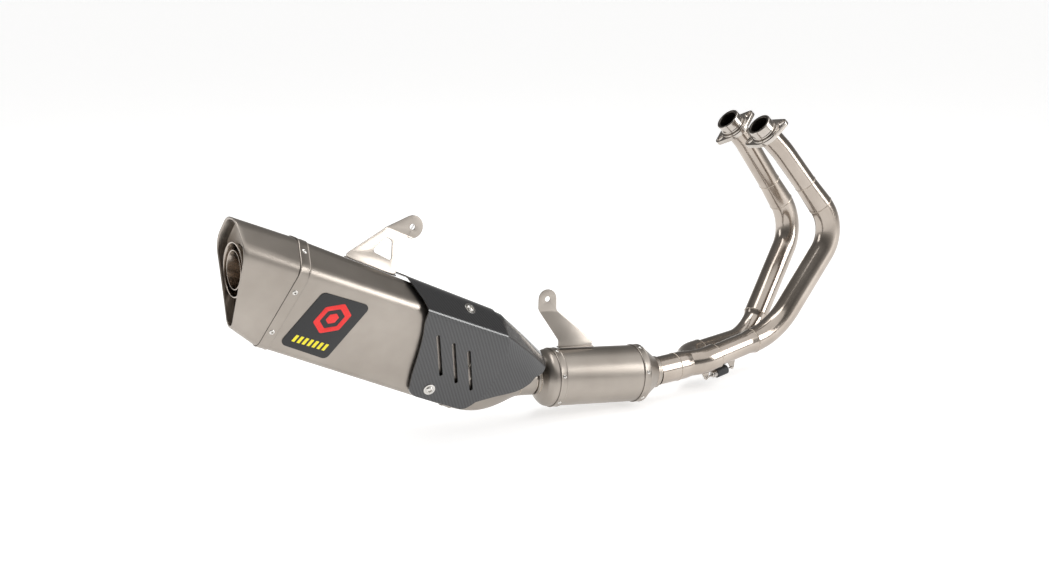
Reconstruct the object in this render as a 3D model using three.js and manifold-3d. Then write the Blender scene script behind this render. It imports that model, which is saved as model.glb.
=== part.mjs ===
// Racing exhaust system for a parallel-twin motorcycle: two header pipes, a collector, a
// round resonator and a tapered hexagonal muffler with a carbon heat shield.
// Millimetres. +X forwards, +Y to the rider's left, +Z up. Origin midway between the two ports.
import * as THREE from "three";
import { mergeVertices } from "three/addons/utils/BufferGeometryUtils.js";
import Module from "manifold-3d";

const wasm = await Module();
wasm.setup();

// ---------------------------------------------------------------- driving dimensions
const GAP = 0.3; // clearance between pieces that touch
const WALL = 1.5; // tube and sheet wall
const SIDES = 14; // sides of a round tube
const ARC_STEPS = 4; // steps round each corner of a section

// Engine ports: the pipes leave the head forwards and down at this angle
const PORT_SPACING = 88;
const PORT_TILT = THREE.MathUtils.degToRad(44);
const COLLAR_R = 20;
const COLLAR_BORE_R = 15.5;
const COLLAR_LENGTH = 16.5;

// Loose two-bolt flanges
const FLANGE_THICKNESS = 7;
const FLANGE_BORE_R = 19.6;
const FLANGE_HUB_R = 27;
const FLANGE_EAR_R = 8.5;
const FLANGE_BOLT_SPACING = 60;
const FLANGE_HOLE_R = 4.2;
const FLANGE_SLOT = 1.8;
const FLANGE_LIP_R = 23.5;
const FLANGE_LIP_HEIGHT = 2;

// Header tubes: a step up in diameter above the front bend, and a straight tail into the collector
const PRIMARY_R = 18;
const MAIN_R = 20;
const TAIL_R = 18;
const STEP_LENGTH = 47; // tapered step between the two upper welds

// Collector: the header tails slide into its two sockets
const SOCKET_WALL_R = 20.2;
const LEG_BORE_R = 16.5;
const TAIL_ENGAGED = 21;
const OUTLET_R = 22;

// Resonator
const RESONATOR_CENTRE = [-322, -94, -358.5];
const RESONATOR_RISE = 13 / 155; // upward slope towards the rear
const SHELL_R = 43;
const SHELL_HALF = 77.5;
const CAP_LENGTH = 21;
const SPIGOT_R = 22.3;
const SPIGOT_END = 128;
const BEAD_R = 24.5;
const RESONATOR_BAND = 12;

// Muffler: its axis rises to the rear and leans outwards
const MUFFLER_ORIGIN = [-532, -107, -287];
const MUFFLER_RISE = THREE.MathUtils.degToRad(23.5);
const MUFFLER_YAW = THREE.MathUtils.degToRad(7);
const SLEEVE_LENGTH = 319;
const MUFFLER_BAND = 16;
const INLET_R = 24.6; // socket that slips over the resonator's outlet
const INLET_START = 107; // both measured along the resonator's axis
const INLET_END = 131;
const CORE_R = 24.5;
const CORE_Y = 4; // the core and the outlet sit this far above the axis

// Muffler sections: six corners, right half, keel first, at the sleeve's front and rear ends
const FRONT_SECTION = [[9, -89.5], [60, 33], [32.2, 57]];
const SECTION = [[9, -81], [56.5, 33], [16, 68]];
const OUTLET_SECTION = [[9, -48], [51.5, 30], [15, 67]];
const ROUNDING = [12, 21, 26];
const OUTLET_ROUNDING = [12, 28, 34];
const CREASED = [12, 2, 26];
const OUTLET_Z = 425;
const SLASH_CENTRE = 385; // where the slash cut crosses the axis
const SLASH_SLOPE = 0.364; // how far the cut leans back, per millimetre of height
const OUTLET_RING_R = 33.5;

// Carbon heat shield, in two pieces that stand off the muffler
const SHIELD_INNER = 5;
const SHIELD_OUTER = 7;
const SHIELD_FAR_EDGE = -24;
const CONE_INNER = 2.9; // the front piece starts beneath the main one
const CONE_OUTER = 4.7;
const TIP_R = 46;
const TIP_START = 100; // along the resonator's axis
const SLOT_WIDTH = 5;
const SCREW_HOLE_R = 3.4;

// Springs that hold the slip joints together
const SPRING_WIRE_R = 1.1;
const SPRING_COIL_R = 4.6;
const SPRING_DROP = 29; // below the pipe's axis
const SPRING_FRONT = 32; // header lug, ahead of the socket's mouth
const SPRING_REAR = 23; // collector lug, behind the mouth

// Brackets
const SHEET = 2;
const BOLT_HOLE_R = 4.25;

// ---------------------------------------------------------------- materials
const finish = (color, roughness, metalness) => new THREE.MeshStandardMaterial({ color, roughness, metalness });
const STAINLESS = finish(0xb8b0a6, 0.22, 1);
const TITANIUM = finish(0xb3a698, 0.38, 1);
const BRACKET = finish(0xc4bab0, 0.3, 1);
const CARBON = finish(0x1c1d1f, 0.18, 0.1);
const RUBBER = finish(0x17171a, 0.7, 0);
const LABEL = finish(0x111214, 0.4, 0);
const WOOL = finish(0xb9b28a, 0.95, 0);
const FASTENER = finish(0xc9c9c6, 0.25, 1);

// ---------------------------------------------------------------- helpers
const vec = (p) => new THREE.Vector3(...p);

/** A circular arc in space from a to b round a centre. */
class ArcCurve3 extends THREE.Curve {
  constructor(centre, a, b) {
    super();
    this.centre = centre;
    this.a = a.clone().sub(centre);
    this.b = b.clone().sub(centre);
    this.angle = this.a.angleTo(this.b);
  }
  getPoint(t, target = new THREE.Vector3()) {
    const s = Math.sin(this.angle);
    return target
      .copy(this.a)
      .multiplyScalar(Math.sin((1 - t) * this.angle) / s)
      .addScaledVector(this.b, Math.sin(t * this.angle) / s)
      .add(this.centre);
  }
}

/** A tube bender's path: straight runs between corners, with a bend of the given radius at each inner corner. */
function bentPath(corners, radii) {
  const path = new THREE.CurvePath();
  const points = corners.map(vec);
  let from = points[0];
  for (let i = 1; i < points.length - 1; i++) {
    const back = points[i - 1].clone().sub(points[i]).normalize();
    const ahead = points[i + 1].clone().sub(points[i]).normalize();
    const half = back.angleTo(ahead) / 2;
    const reach = radii[i - 1] / Math.tan(half);
    const start = points[i].clone().addScaledVector(back, reach);
    const end = points[i].clone().addScaledVector(ahead, reach);
    const middle = back.add(ahead).normalize();
    const centre = points[i].clone().addScaledVector(middle, radii[i - 1] / Math.sin(half));
    path.add(new THREE.LineCurve3(from, start));
    path.add(new ArcCurve3(centre, start, end));
    from = end;
  }
  path.add(new THREE.LineCurve3(from, points.at(-1)));
  return path;
}

const circleShape = (r, sides = SIDES) => {
  const at = (i) => new THREE.Vector2(r * Math.cos((2 * Math.PI * i) / sides), r * Math.sin((2 * Math.PI * i) / sides));
  return new THREE.Shape(Array.from({ length: sides }, (_, i) => at(i)));
};

/** A tube, or a rod when there is no inner radius, along a path. */
function tube(path, outer, inner, steps, sides = SIDES) {
  const shape = circleShape(outer, sides);
  if (inner) shape.holes.push(circleShape(inner, sides));
  return new THREE.ExtrudeGeometry(shape, { steps, extrudePath: path, curveSegments: 1 });
}

/** A flat plate or prism: the shape pushed along +Z from z to z + depth. */
function plate(shape, depth, z = 0, curveSegments = 8) {
  return new THREE.ExtrudeGeometry(shape, { depth, bevelEnabled: false, curveSegments }).translate(0, 0, z);
}

/** A turned piece about +Z; the closed profile lists [radius, z] anticlockwise. */
function turned(profile, sides = SIDES) {
  const closed = [...profile, profile[0]].map(([r, z]) => new THREE.Vector2(r, z));
  return new THREE.LatheGeometry(closed, sides).rotateX(Math.PI / 2);
}

/** A hollow turned wall: outer profile as [radius, z] points, with the wall inside it. */
function turnedWall(outer, wall, sides = SIDES) {
  const inner = outer.map(([r, z]) => [r - wall, z]).reverse();
  return turned([...outer, ...inner], sides);
}

const solidOf = (geometry) => {
  const plain = geometry.index ? geometry.toNonIndexed() : geometry.clone();
  plain.deleteAttribute("normal");
  plain.deleteAttribute("uv");
  const merged = mergeVertices(plain, 1e-4);
  let triVerts = new Uint32Array(merged.index.array);
  const build = () => new wasm.Manifold(new wasm.Mesh({ numProp: 3, vertProperties: merged.attributes.position.array, triVerts }));
  const made = build();
  if (made.volume() >= 0) return made;
  triVerts = triVerts.map((_, i) => triVerts[i - (i % 3) + [0, 2, 1][i % 3]]);
  return build();
};

const geometryOf = (solid) => {
  const mesh = solid.getMesh();
  const geometry = new THREE.BufferGeometry();
  geometry.setAttribute("position", new THREE.BufferAttribute(new Float32Array(mesh.vertProperties), 3));
  geometry.setIndex(new THREE.BufferAttribute(new Uint32Array(mesh.triVerts), 1));
  geometry.computeVertexNormals();
  return geometry;
};

const joined = (...geometries) => geometries.map(solidOf).reduce((a, b) => a.add(b));
const cut = (body, ...cutters) => cutters.map(solidOf).reduce((a, b) => a.subtract(b), body);

/** A closed wall between matching rings of points: outer rings, then inner rings, both front to back. */
function loftWall(outer, inner) {
  const count = outer[0].length;
  const loop = [...outer, ...inner.slice().reverse()];
  const positions = loop.flat().flatMap((p) => [p.x, p.y, p.z]);
  const index = [];
  loop.forEach((_, i) => {
    const next = (i + 1) % loop.length;
    for (let k = 0; k < count; k++) {
      const a = i * count + k;
      const b = i * count + ((k + 1) % count);
      const c = next * count + k;
      const d = next * count + ((k + 1) % count);
      index.push(...(i < outer.length ? [a, b, d, a, d, c] : [a, b, c, b, d, c]));
    }
  });
  const geometry = new THREE.BufferGeometry();
  geometry.setAttribute("position", new THREE.Float32BufferAttribute(positions, 3));
  geometry.setIndex(index);
  return solidOf(geometry);
}

/** A solid through matching rings of points, closed by a fan at each end. */
function loftSolid(rings) {
  const count = rings[0].length;
  const middle = (ring) => ring.reduce((sum, p) => sum.add(p), new THREE.Vector3()).divideScalar(count);
  const points = [...rings.flat(), middle(rings[0]), middle(rings.at(-1))];
  const last = (rings.length - 1) * count;
  const index = [];
  for (let k = 0; k < count; k++) {
    const next = (k + 1) % count;
    for (let at = 0; at < last; at += count) {
      index.push(at + k, at + next, at + count + next, at + k, at + count + next, at + count + k);
    }
    index.push(last + count, next, k, last + k, last + next, last + count + 1);
  }
  const geometry = new THREE.BufferGeometry();
  geometry.setAttribute("position", new THREE.Float32BufferAttribute(points.flatMap((p) => [p.x, p.y, p.z]), 3));
  geometry.setIndex(index);
  return solidOf(geometry);
}

/** The outline of a polygon whose corners are rounded to the given radii: the same number of points at each corner. */
function roundedPoints(corners, radii, segments = ARC_STEPS) {
  const points = corners.map(([x, y]) => new THREE.Vector2(x, y));
  return points.flatMap((corner, i) => {
    const back = points.at(i - 1).clone().sub(corner).normalize();
    const ahead = points[(i + 1) % points.length].clone().sub(corner).normalize();
    const half = Math.acos(THREE.MathUtils.clamp(back.dot(ahead), -1, 1)) / 2;
    const start = corner.clone().addScaledVector(back, radii[i] / Math.tan(half));
    const centre = corner.clone().addScaledVector(back.clone().add(ahead).normalize(), radii[i] / Math.sin(half));
    const turn = Math.PI - 2 * half;
    const at = (k) => start.clone().rotateAround(centre, (turn * k) / segments);
    return Array.from({ length: segments + 1 }, (_, k) => at(k));
  });
}

const roundedPolygon = (corners, radii) => new THREE.Shape(roundedPoints(corners, radii));

/** The corners of a polygon moved outwards by a distance, edge by edge. */
function offsetCorners(corners, distance) {
  return corners.map((corner, i) => {
    const before = corners.at(i - 1);
    const after = corners[(i + 1) % corners.length];
    const normal = (p, q) => new THREE.Vector2(q[1] - p[1], p[0] - q[0]).normalize();
    const n = normal(before, corner);
    const m = normal(corner, after);
    const scale = distance / (1 + n.dot(m));
    return [corner[0] + (n.x + m.x) * scale, corner[1] + (n.y + m.y) * scale];
  });
}

/** A six-cornered section from its right half, with the outline moved outwards by a distance. */
function section(distance, half = SECTION, radii = ROUNDING) {
  const mirrored = half.map(([x, y]) => [-x, y]).reverse();
  const rounding = radii.map((r) => Math.max(r + distance, 1));
  return roundedPolygon(offsetCorners([...half, ...mirrored], distance), [...rounding, ...rounding.slice().reverse()]);
}

/** The sleeve's corners at a distance z, on straight lines through its two end sections. */
function sectionAt(z) {
  const t = z / SLEEVE_LENGTH;
  return SECTION.map(([x, y], i) => [
    FRONT_SECTION[i][0] * (1 - t) + x * t,
    FRONT_SECTION[i][1] * (1 - t) + y * t,
  ]);
}

/** A section's outline at a distance z, with extra points along its flats where it has to turn into a circle. */
function ringAt(shape, z, extra = 0) {
  const points = shape.getPoints(1).map((p) => new THREE.Vector3(p.x, p.y, z));
  return points.flatMap((p, i) => {
    const next = points[(i + 1) % points.length];
    const added = (i + 1) % (ARC_STEPS + 1) === 0 ? extra : 0;
    return Array.from({ length: added + 1 }, (_, k) => p.clone().lerp(next, k / (added + 1)));
  });
}

/** A group whose +Z runs along a direction and whose +Y stays as near to up as it can. */
function frameAt(origin, direction) {
  const z = vec(direction).normalize();
  const x = new THREE.Vector3(0, 0, 1).cross(z).normalize();
  const y = z.clone().cross(x);
  const group = new THREE.Group();
  group.applyMatrix4(new THREE.Matrix4().makeBasis(x, y, z));
  group.position.copy(vec(origin));
  return group;
}

const root = new THREE.Group();

function addPiece(name, shape, material, parent = root) {
  const geometry = shape.isBufferGeometry ? shape : geometryOf(shape);
  const mesh = new THREE.Mesh(geometry, material);
  mesh.name = name;
  parent.add(mesh);
  return mesh;
}

const along = (p, q, distance) => {
  const step = vec(q).sub(vec(p));
  return vec(p).addScaledVector(step.normalize(), distance).toArray();
};

// ---------------------------------------------------------------- header pipes
const portAxis = [Math.cos(PORT_TILT), 0, -Math.sin(PORT_TILT)];

/** Corners of each header's centreline, port first, and the mouth of its socket. The right-hand pipe is at -Y. */
const HEADERS = [
  {
    name: "right",
    port: [0, -PORT_SPACING / 2, 0],
    flangeTurn: THREE.MathUtils.degToRad(132),
    corners: [[46, -46, -44], [153, -58, -177], [27, -69, -337]],
    radii: [120, 62, 120],
    mouth: [-98, -88, -358],
    weldToCorner: 52, // second weld to the front corner
    tailFrom: 1, // the tail starts after the lower bend
    tailOffset: 49,
  },
  {
    name: "left",
    port: [0, PORT_SPACING / 2, 0],
    flangeTurn: THREE.MathUtils.degToRad(111),
    corners: [[36, 46, -36], [158, 64, -190], [20, -4, -360]],
    radii: [120, 62, 90],
    mouth: [-100, -44, -362],
    weldToCorner: 54,
    tailFrom: -1, // the tail holds the lower bend
    tailOffset: 44,
  },
];

function portCollar() {
  return turned([
    [COLLAR_BORE_R, 0],
    [COLLAR_R - 1, 0],
    [COLLAR_R, 1],
    [COLLAR_R, COLLAR_LENGTH - 4],
    [COLLAR_R + 1, COLLAR_LENGTH - 3],
    [COLLAR_R + 1, COLLAR_LENGTH],
    [COLLAR_BORE_R, COLLAR_LENGTH],
  ], 24);
}

function headerFlange() {
  const reach = FLANGE_BOLT_SPACING / 2;
  const tangent = Math.acos((FLANGE_HUB_R - FLANGE_EAR_R) / reach);
  const outline = new THREE.Shape();
  outline.absarc(reach, 0, FLANGE_EAR_R, -tangent, tangent, false);
  outline.absarc(0, 0, FLANGE_HUB_R, tangent, Math.PI - tangent, false);
  outline.absarc(-reach, 0, FLANGE_EAR_R, Math.PI - tangent, Math.PI + tangent, false);
  outline.absarc(0, 0, FLANGE_HUB_R, Math.PI + tangent, 2 * Math.PI - tangent, false);
  outline.holes.push(circleShape(FLANGE_BORE_R, 24));
  for (const x of [-reach, reach]) {
    const slot = new THREE.Path();
    slot.absarc(x + FLANGE_SLOT, 0, FLANGE_HOLE_R, -Math.PI / 2, Math.PI / 2, false);
    slot.absarc(x - FLANGE_SLOT, 0, FLANGE_HOLE_R, Math.PI / 2, 1.5 * Math.PI, false);
    outline.holes.push(slot);
  }
  const base = COLLAR_LENGTH + GAP;
  const lip = turned([
    [FLANGE_BORE_R, base],
    [FLANGE_LIP_R, base],
    [FLANGE_LIP_R + 1, base + FLANGE_LIP_HEIGHT + 0.5],
    [FLANGE_BORE_R, base + FLANGE_LIP_HEIGHT + 0.5],
  ], 24);
  return joined(plate(outline, FLANGE_THICKNESS, base + FLANGE_LIP_HEIGHT, 4), lip);
}

/** A shape drawn in (z, y) and pushed along x, in a frame such as the muffler's. */
function sidePlate(shape, fromX, toX, curveSegments = 6) {
  return plate(shape, toX - fromX, -toX, curveSegments).rotateY(-Math.PI / 2);
}

/** A lug with an eye for a spring hook, hanging below a pipe's axis in the pipe's frame. */
function springLug(z, pipeR) {
  const top = -pipeR - GAP;
  const shape = new THREE.Shape();
  shape.moveTo(z - 8, top);
  shape.lineTo(z - 4, -SPRING_DROP);
  shape.absarc(z, -SPRING_DROP, 4, Math.PI, 2 * Math.PI, false);
  shape.lineTo(z + 8, top);
  shape.closePath();
  shape.holes.push(new THREE.Path().absarc(z, -SPRING_DROP, 2.1, 0, 2 * Math.PI, false));
  return sidePlate(shape, -1, 1);
}

/** A tension spring's wire along z from one lug eye to the other, with an open hook at each end. */
function springWire() {
  const hookR = 3.4;
  const turns = 8;
  const perTurn = 8;
  const from = -SPRING_FRONT;
  const to = SPRING_REAR;
  const lead = 3 * hookR;
  const hook = (eye, inwards) =>
    [8, 6, 4, 2, 0].map((i) => {
      const angle = (i * Math.PI) / 6;
      return new THREE.Vector3(hookR * Math.sin(angle), 0, eye + inwards * hookR * (1 + Math.cos(angle)));
    });
  const coil = Array.from({ length: turns * perTurn + 1 }, (_, i) => {
    const angle = (2 * Math.PI * i) / perTurn;
    const z = from + lead + ((to - from - 2 * lead) * i) / (turns * perTurn);
    return new THREE.Vector3(SPRING_COIL_R * Math.sin(angle), SPRING_COIL_R * Math.cos(angle), z);
  });
  const points = [...hook(from, 1), ...coil, ...hook(to, -1).reverse()];
  return tube(new THREE.CatmullRomCurve3(points, false, "centripetal"), SPRING_WIRE_R, 0, points.length, 5);
}

/** The socket's frame: +Z runs rearwards down the header tail, from the socket's mouth. */
const socketFrame = (h) => frameAt(h.mouth, vec(h.mouth).sub(vec(h.corners[2])).toArray());

function addHeader(h) {
  const port = frameAt(h.port, portAxis);
  root.add(port);
  addPiece(h.name + "_port_collar", portCollar(), STAINLESS, port);
  addPiece(h.name + "_header_flange", headerFlange(), STAINLESS, port).rotation.z = h.flangeTurn;

  const [upper, front, lower] = h.corners;
  const start = along(h.port, upper, COLLAR_LENGTH + 3 * GAP);
  const secondWeld = along(front, upper, h.weldToCorner);
  const firstWeld = along(secondWeld, upper, STEP_LENGTH);
  const primary = bentPath([start, upper, firstWeld], h.radii.slice(0, 1));
  addPiece(h.name + "_header_primary", tube(primary, PRIMARY_R, PRIMARY_R - WALL, 8), STAINLESS);

  const step = frameAt(firstWeld, vec(front).sub(vec(upper)).toArray());
  root.add(step);
  const taper = [[PRIMARY_R, GAP], [PRIMARY_R, 4], [MAIN_R, STEP_LENGTH - 6], [MAIN_R, STEP_LENGTH - GAP]];
  addPiece(h.name + "_header_step", turnedWall(taper, WALL), STAINLESS, step);

  const end = along(h.mouth, lower, -TAIL_ENGAGED);
  const split = along(lower, h.tailFrom > 0 ? end : front, h.tailOffset);
  const tailStart = along(split, h.tailFrom > 0 ? end : lower, GAP);
  const mainPath = h.tailFrom > 0
    ? bentPath([secondWeld, front, lower, split], h.radii.slice(1))
    : bentPath([secondWeld, front, split], h.radii.slice(1, 2));
  const tailPath = h.tailFrom > 0
    ? bentPath([tailStart, end], [])
    : bentPath([tailStart, lower, end], h.radii.slice(2));
  addPiece(h.name + "_header_main", tube(mainPath, MAIN_R, MAIN_R - WALL, 24), STAINLESS);
  addPiece(h.name + "_header_tail", tube(tailPath, TAIL_R, TAIL_R - WALL, h.tailFrom > 0 ? 2 : 14), STAINLESS);

  const socket = socketFrame(h);
  root.add(socket);
  addPiece(h.name + "_header_spring_lug", springLug(-SPRING_FRONT, TAIL_R), STAINLESS, socket);
  addPiece(h.name + "_collector_spring_lug", springLug(SPRING_REAR, SOCKET_WALL_R), STAINLESS, socket);
  addPiece(h.name + "_collector_spring", springWire(), FASTENER, socket).position.y = -SPRING_DROP;
  const sleeveR = SPRING_COIL_R + SPRING_WIRE_R;
  const damper = turnedWall([[sleeveR + 2, -SPRING_FRONT + 13], [sleeveR + 2, 3]], 1.7, 14);
  addPiece(h.name + "_spring_damper", damper, RUBBER, socket).position.y = -SPRING_DROP;
}

HEADERS.forEach(addHeader);

// ---------------------------------------------------------------- collector and link pipe
const resonatorAxis = vec([-1, 0, RESONATOR_RISE]).normalize();
const onResonator = (z) => vec(RESONATOR_CENTRE).addScaledVector(resonatorAxis, z).toArray();
const CONE_START = -SHELL_HALF - 30.5;
const OUTLET_CENTRE = [-175, -89, -366];
const LINK_END = onResonator(CONE_START);

function collector() {
  const rod = (path, r, steps) => tube(path, r, 0, steps);
  const straight = (a, b, r) => rod(new THREE.LineCurve3(vec(a), vec(b)), r, 1);
  const before = along(OUTLET_CENTRE, LINK_END, -26);
  const outer = [straight(before, OUTLET_CENTRE, OUTLET_R)];
  const inner = [straight(along(OUTLET_CENTRE, before, 28), along(OUTLET_CENTRE, before, -2), OUTLET_R - WALL)];
  for (const h of HEADERS) {
    const turn = along(h.mouth, h.corners[2], -TAIL_ENGAGED - 6);
    const mouth = h.mouth;
    outer.push(rod(bentPath([mouth, turn, before], [h.tailFrom > 0 ? 60 : 40]), SOCKET_WALL_R, 8));
    inner.push(rod(bentPath([mouth, turn, before], [h.tailFrom > 0 ? 60 : 40]), LEG_BORE_R, 8));
    inner.push(straight(along(mouth, turn, -2), along(mouth, turn, TAIL_ENGAGED + 0.7), TAIL_R + 0.45));
  }
  return cut(joined(...outer), ...inner);
}

addPiece("collector", collector(), STAINLESS);

const linkPipe = frameAt(along(OUTLET_CENTRE, LINK_END, GAP), vec(LINK_END).sub(vec(OUTLET_CENTRE)).toArray());
const linkLength = vec(LINK_END).distanceTo(vec(OUTLET_CENTRE)) - 2.5;
root.add(linkPipe);
addPiece("link_pipe", turnedWall([[OUTLET_R, 0], [OUTLET_R, linkLength]], WALL), STAINLESS, linkPipe);

// ---------------------------------------------------------------- resonator
const resonator = frameAt(RESONATOR_CENTRE, resonatorAxis.toArray());
root.add(resonator);

const cone = [
  [BEAD_R, CONE_START],
  [BEAD_R, CONE_START + 5],
  [BEAD_R + 1.5, CONE_START + 6],
  [SHELL_R - 2, -SHELL_HALF - 3],
  [SHELL_R, -SHELL_HALF - GAP],
];
addPiece("resonator_front_cone", turnedWall(cone, WALL, 26), TITANIUM, resonator);
addPiece("resonator_shell", turnedWall([[SHELL_R, -SHELL_HALF], [SHELL_R, SHELL_HALF]], WALL, 26), TITANIUM, resonator);
for (const [name, z] of [["front", -SHELL_HALF], ["rear", SHELL_HALF - RESONATOR_BAND]]) {
  const band = turnedWall([[SHELL_R + 1.5, z], [SHELL_R + 1.5, z + RESONATOR_BAND]], 1.2, 26);
  addPiece("resonator_" + name + "_band", band, TITANIUM, resonator);
}
const dome = [
  [SHELL_R, SHELL_HALF + GAP],
  [SHELL_R - 2, SHELL_HALF + 7],
  [SHELL_R - 8, SHELL_HALF + 14],
  [BEAD_R + 1, SHELL_HALF + CAP_LENGTH - 1],
  [BEAD_R, SHELL_HALF + CAP_LENGTH],
  [BEAD_R, SHELL_HALF + CAP_LENGTH + 5],
];
addPiece("resonator_rear_cap", turnedWall(dome, WALL, 26), TITANIUM, resonator);
const core = [[SPIGOT_R, -SHELL_HALF + 2], [SPIGOT_R, SHELL_HALF - 1]];
addPiece("resonator_core", turnedWall(core, WALL, 24), STAINLESS, resonator);
const wool = [[SHELL_R - WALL - 3 * GAP, -SHELL_HALF + 3], [SHELL_R - WALL - 3 * GAP, SHELL_HALF - 3]];
addPiece("resonator_packing", turnedWall(wool, SHELL_R - WALL - SPIGOT_R - 4 * GAP, 24), WOOL, resonator);
const spigot = [[SPIGOT_R, SHELL_HALF], [SPIGOT_R, SPIGOT_END]];
addPiece("resonator_outlet_spigot", turnedWall(spigot, WALL, 28), STAINLESS, resonator);

/**
 * A bolt-on bracket cut from sheet: a foot along the body, a web that leans inboard and an upright ear with a hole.
 * The outlines are drawn in (z, y); the web's is measured up its own slope from the foot.
 */
function bracket(web, window, lean, base, ear, earR, foot) {
  const leaning = (geometry) => geometry.rotateZ(lean).translate(base[0], base[1], 0);
  const webShape = new THREE.Shape(web.map((p) => new THREE.Vector2(...p)));
  if (window) webShape.holes.push(new THREE.Path(window.map((p) => new THREE.Vector2(...p))));
  const high = Math.max(...web.map((p) => p[1]));
  const topX = base[0] - high * Math.sin(lean);
  const topY = base[1] + high * Math.cos(lean);
  const ends = web.filter((p) => p[1] === high).map((p) => p[0]).sort((a, b) => a - b);
  const earShape = new THREE.Shape();
  earShape.moveTo(ends[0], topY - 1);
  earShape.lineTo(ends[1], topY - 1);
  const [earZ, earY] = ear;
  const angles = [-10, 30, 60, 90, 120, 150, 190].map(THREE.MathUtils.degToRad);
  angles.forEach((a) => earShape.lineTo(earZ + earR * Math.cos(a), earY + earR * Math.sin(a)));
  earShape.closePath();
  earShape.holes.push(circleShape(BOLT_HOLE_R, 20));
  const hole = earShape.holes[0];
  hole.curves.forEach((c) => [c.v1, c.v2].forEach((v) => v.add(new THREE.Vector2(earZ, earY))));
  const webSolid = leaning(sidePlate(webShape, -SHEET / 2, SHEET / 2));
  const earSolid = sidePlate(earShape, topX - SHEET / 2, topX + SHEET / 2);
  const [footWidth, footFrom, footTo, footLean] = foot;
  const footSolid = new THREE.BoxGeometry(footWidth, SHEET, footTo - footFrom)
    .translate(0, 0, (footFrom + footTo) / 2)
    .rotateZ(footLean)
    .translate(base[0], base[1], 0);
  return joined(webSolid, earSolid, footSolid);
}

const resonatorWeb = [[5, 0], [4.6, 8], [11.4, 14], [59, 54], [92, 54], [61, 10], [62, 0]];
const resonatorLean = THREE.MathUtils.degToRad(13);
const resonatorBase = [-4, SHELL_R + GAP + 1.6];
const resonatorFoot = [13, 5, 62, resonatorLean * 0.4];
addPiece(
  "resonator_bracket",
  bracket(resonatorWeb, null, resonatorLean, resonatorBase, [80, 116], 14.6, resonatorFoot),
  BRACKET,
  resonator,
);

// ---------------------------------------------------------------- muffler
const mufflerAxis = [
  -Math.cos(MUFFLER_RISE) * Math.cos(MUFFLER_YAW),
  -Math.cos(MUFFLER_RISE) * Math.sin(MUFFLER_YAW),
  Math.sin(MUFFLER_RISE),
];
const muffler = frameAt(MUFFLER_ORIGIN, mufflerAxis);
root.add(muffler);
muffler.updateMatrix();
resonator.updateMatrix();
const toMuffler = muffler.matrix.clone().invert().multiply(resonator.matrix);

/** A circle round the resonator's axis, in the muffler's frame, with a point for each point of a section ring. */
function roundRing(like, r, z) {
  return like.map((p) => {
    const angle = Math.atan2(p.y + 10, p.x);
    return new THREE.Vector3(r * Math.cos(angle), r * Math.sin(angle), z).applyMatrix4(toMuffler);
  });
}

/** Rings from a section to a round mouth on the resonator's axis, bulging a little like a formed cone. */
function funnelRings(distance, r, fromZ, toZ, { radii = ROUNDING, swell = 0.16, steps = 4 } = {}) {
  const first = ringAt(section(distance, sectionAt(fromZ), radii), fromZ, 2);
  const last = roundRing(first, r, toZ);
  return Array.from({ length: steps + 1 }, (_, i) => {
    const t = i / steps;
    const bulge = swell * Math.sin(Math.PI * t);
    return first.map((p, k) => {
      const q = p.clone().lerp(last[k], t);
      return q.add(new THREE.Vector3(p.x, p.y + 10, 0).multiplyScalar(bulge));
    });
  });
}

const beyondSlash = (offset) =>
  new THREE.BoxGeometry(300, 400, 300)
    .translate(0, 0, 150)
    .rotateX(Math.atan(SLASH_SLOPE))
    .translate(0, 0, SLASH_CENTRE + offset);

function prismWall(outer, inner, fromZ, toZ, radii) {
  const ring = (d, z) => ringAt(section(d, sectionAt(z), radii), z);
  return loftWall([ring(outer, fromZ), ring(outer, toZ)], [ring(inner, fromZ), ring(inner, toZ)]);
}

const socketTube = turnedWall([[INLET_R, INLET_START], [INLET_R, INLET_END]], WALL, 28);
addPiece("muffler_inlet_tube", socketTube, TITANIUM, resonator);
const funnel = loftWall(
  funnelRings(0, INLET_R, -GAP, INLET_END + GAP),
  funnelRings(-WALL, INLET_R - WALL, -GAP, INLET_END + GAP),
);
addPiece("muffler_inlet_cap", funnel, TITANIUM, muffler);
addPiece("muffler_sleeve", prismWall(0, -WALL, 0, SLEEVE_LENGTH - GAP), TITANIUM, muffler);
addPiece("muffler_front_band", prismWall(1.5, GAP, 0, MUFFLER_BAND), TITANIUM, muffler);
addPiece("muffler_rear_band", prismWall(1.5, GAP, SLEEVE_LENGTH - MUFFLER_BAND, SLEEVE_LENGTH - GAP), TITANIUM, muffler);

function outletShell(distance) {
  return [
    ringAt(section(distance), SLEEVE_LENGTH, 2),
    ringAt(section(distance, OUTLET_SECTION, OUTLET_ROUNDING), OUTLET_Z, 2),
  ];
}

const cap = cut(loftWall(outletShell(0), outletShell(-WALL)), beyondSlash(0));
addPiece("muffler_outlet_cap", cap, TITANIUM, muffler);

const outletInside = loftSolid(outletShell(-WALL - GAP));
const slab = solidOf(beyondSlash(-16)).subtract(solidOf(beyondSlash(-14)));
const outletHole = plate(circleShape(OUTLET_RING_R + GAP, 32), 200, SLEEVE_LENGTH).translate(0, CORE_Y, 0);
addPiece("muffler_outlet_plate", cut(outletInside.intersect(slab), outletHole), TITANIUM, muffler);

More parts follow.
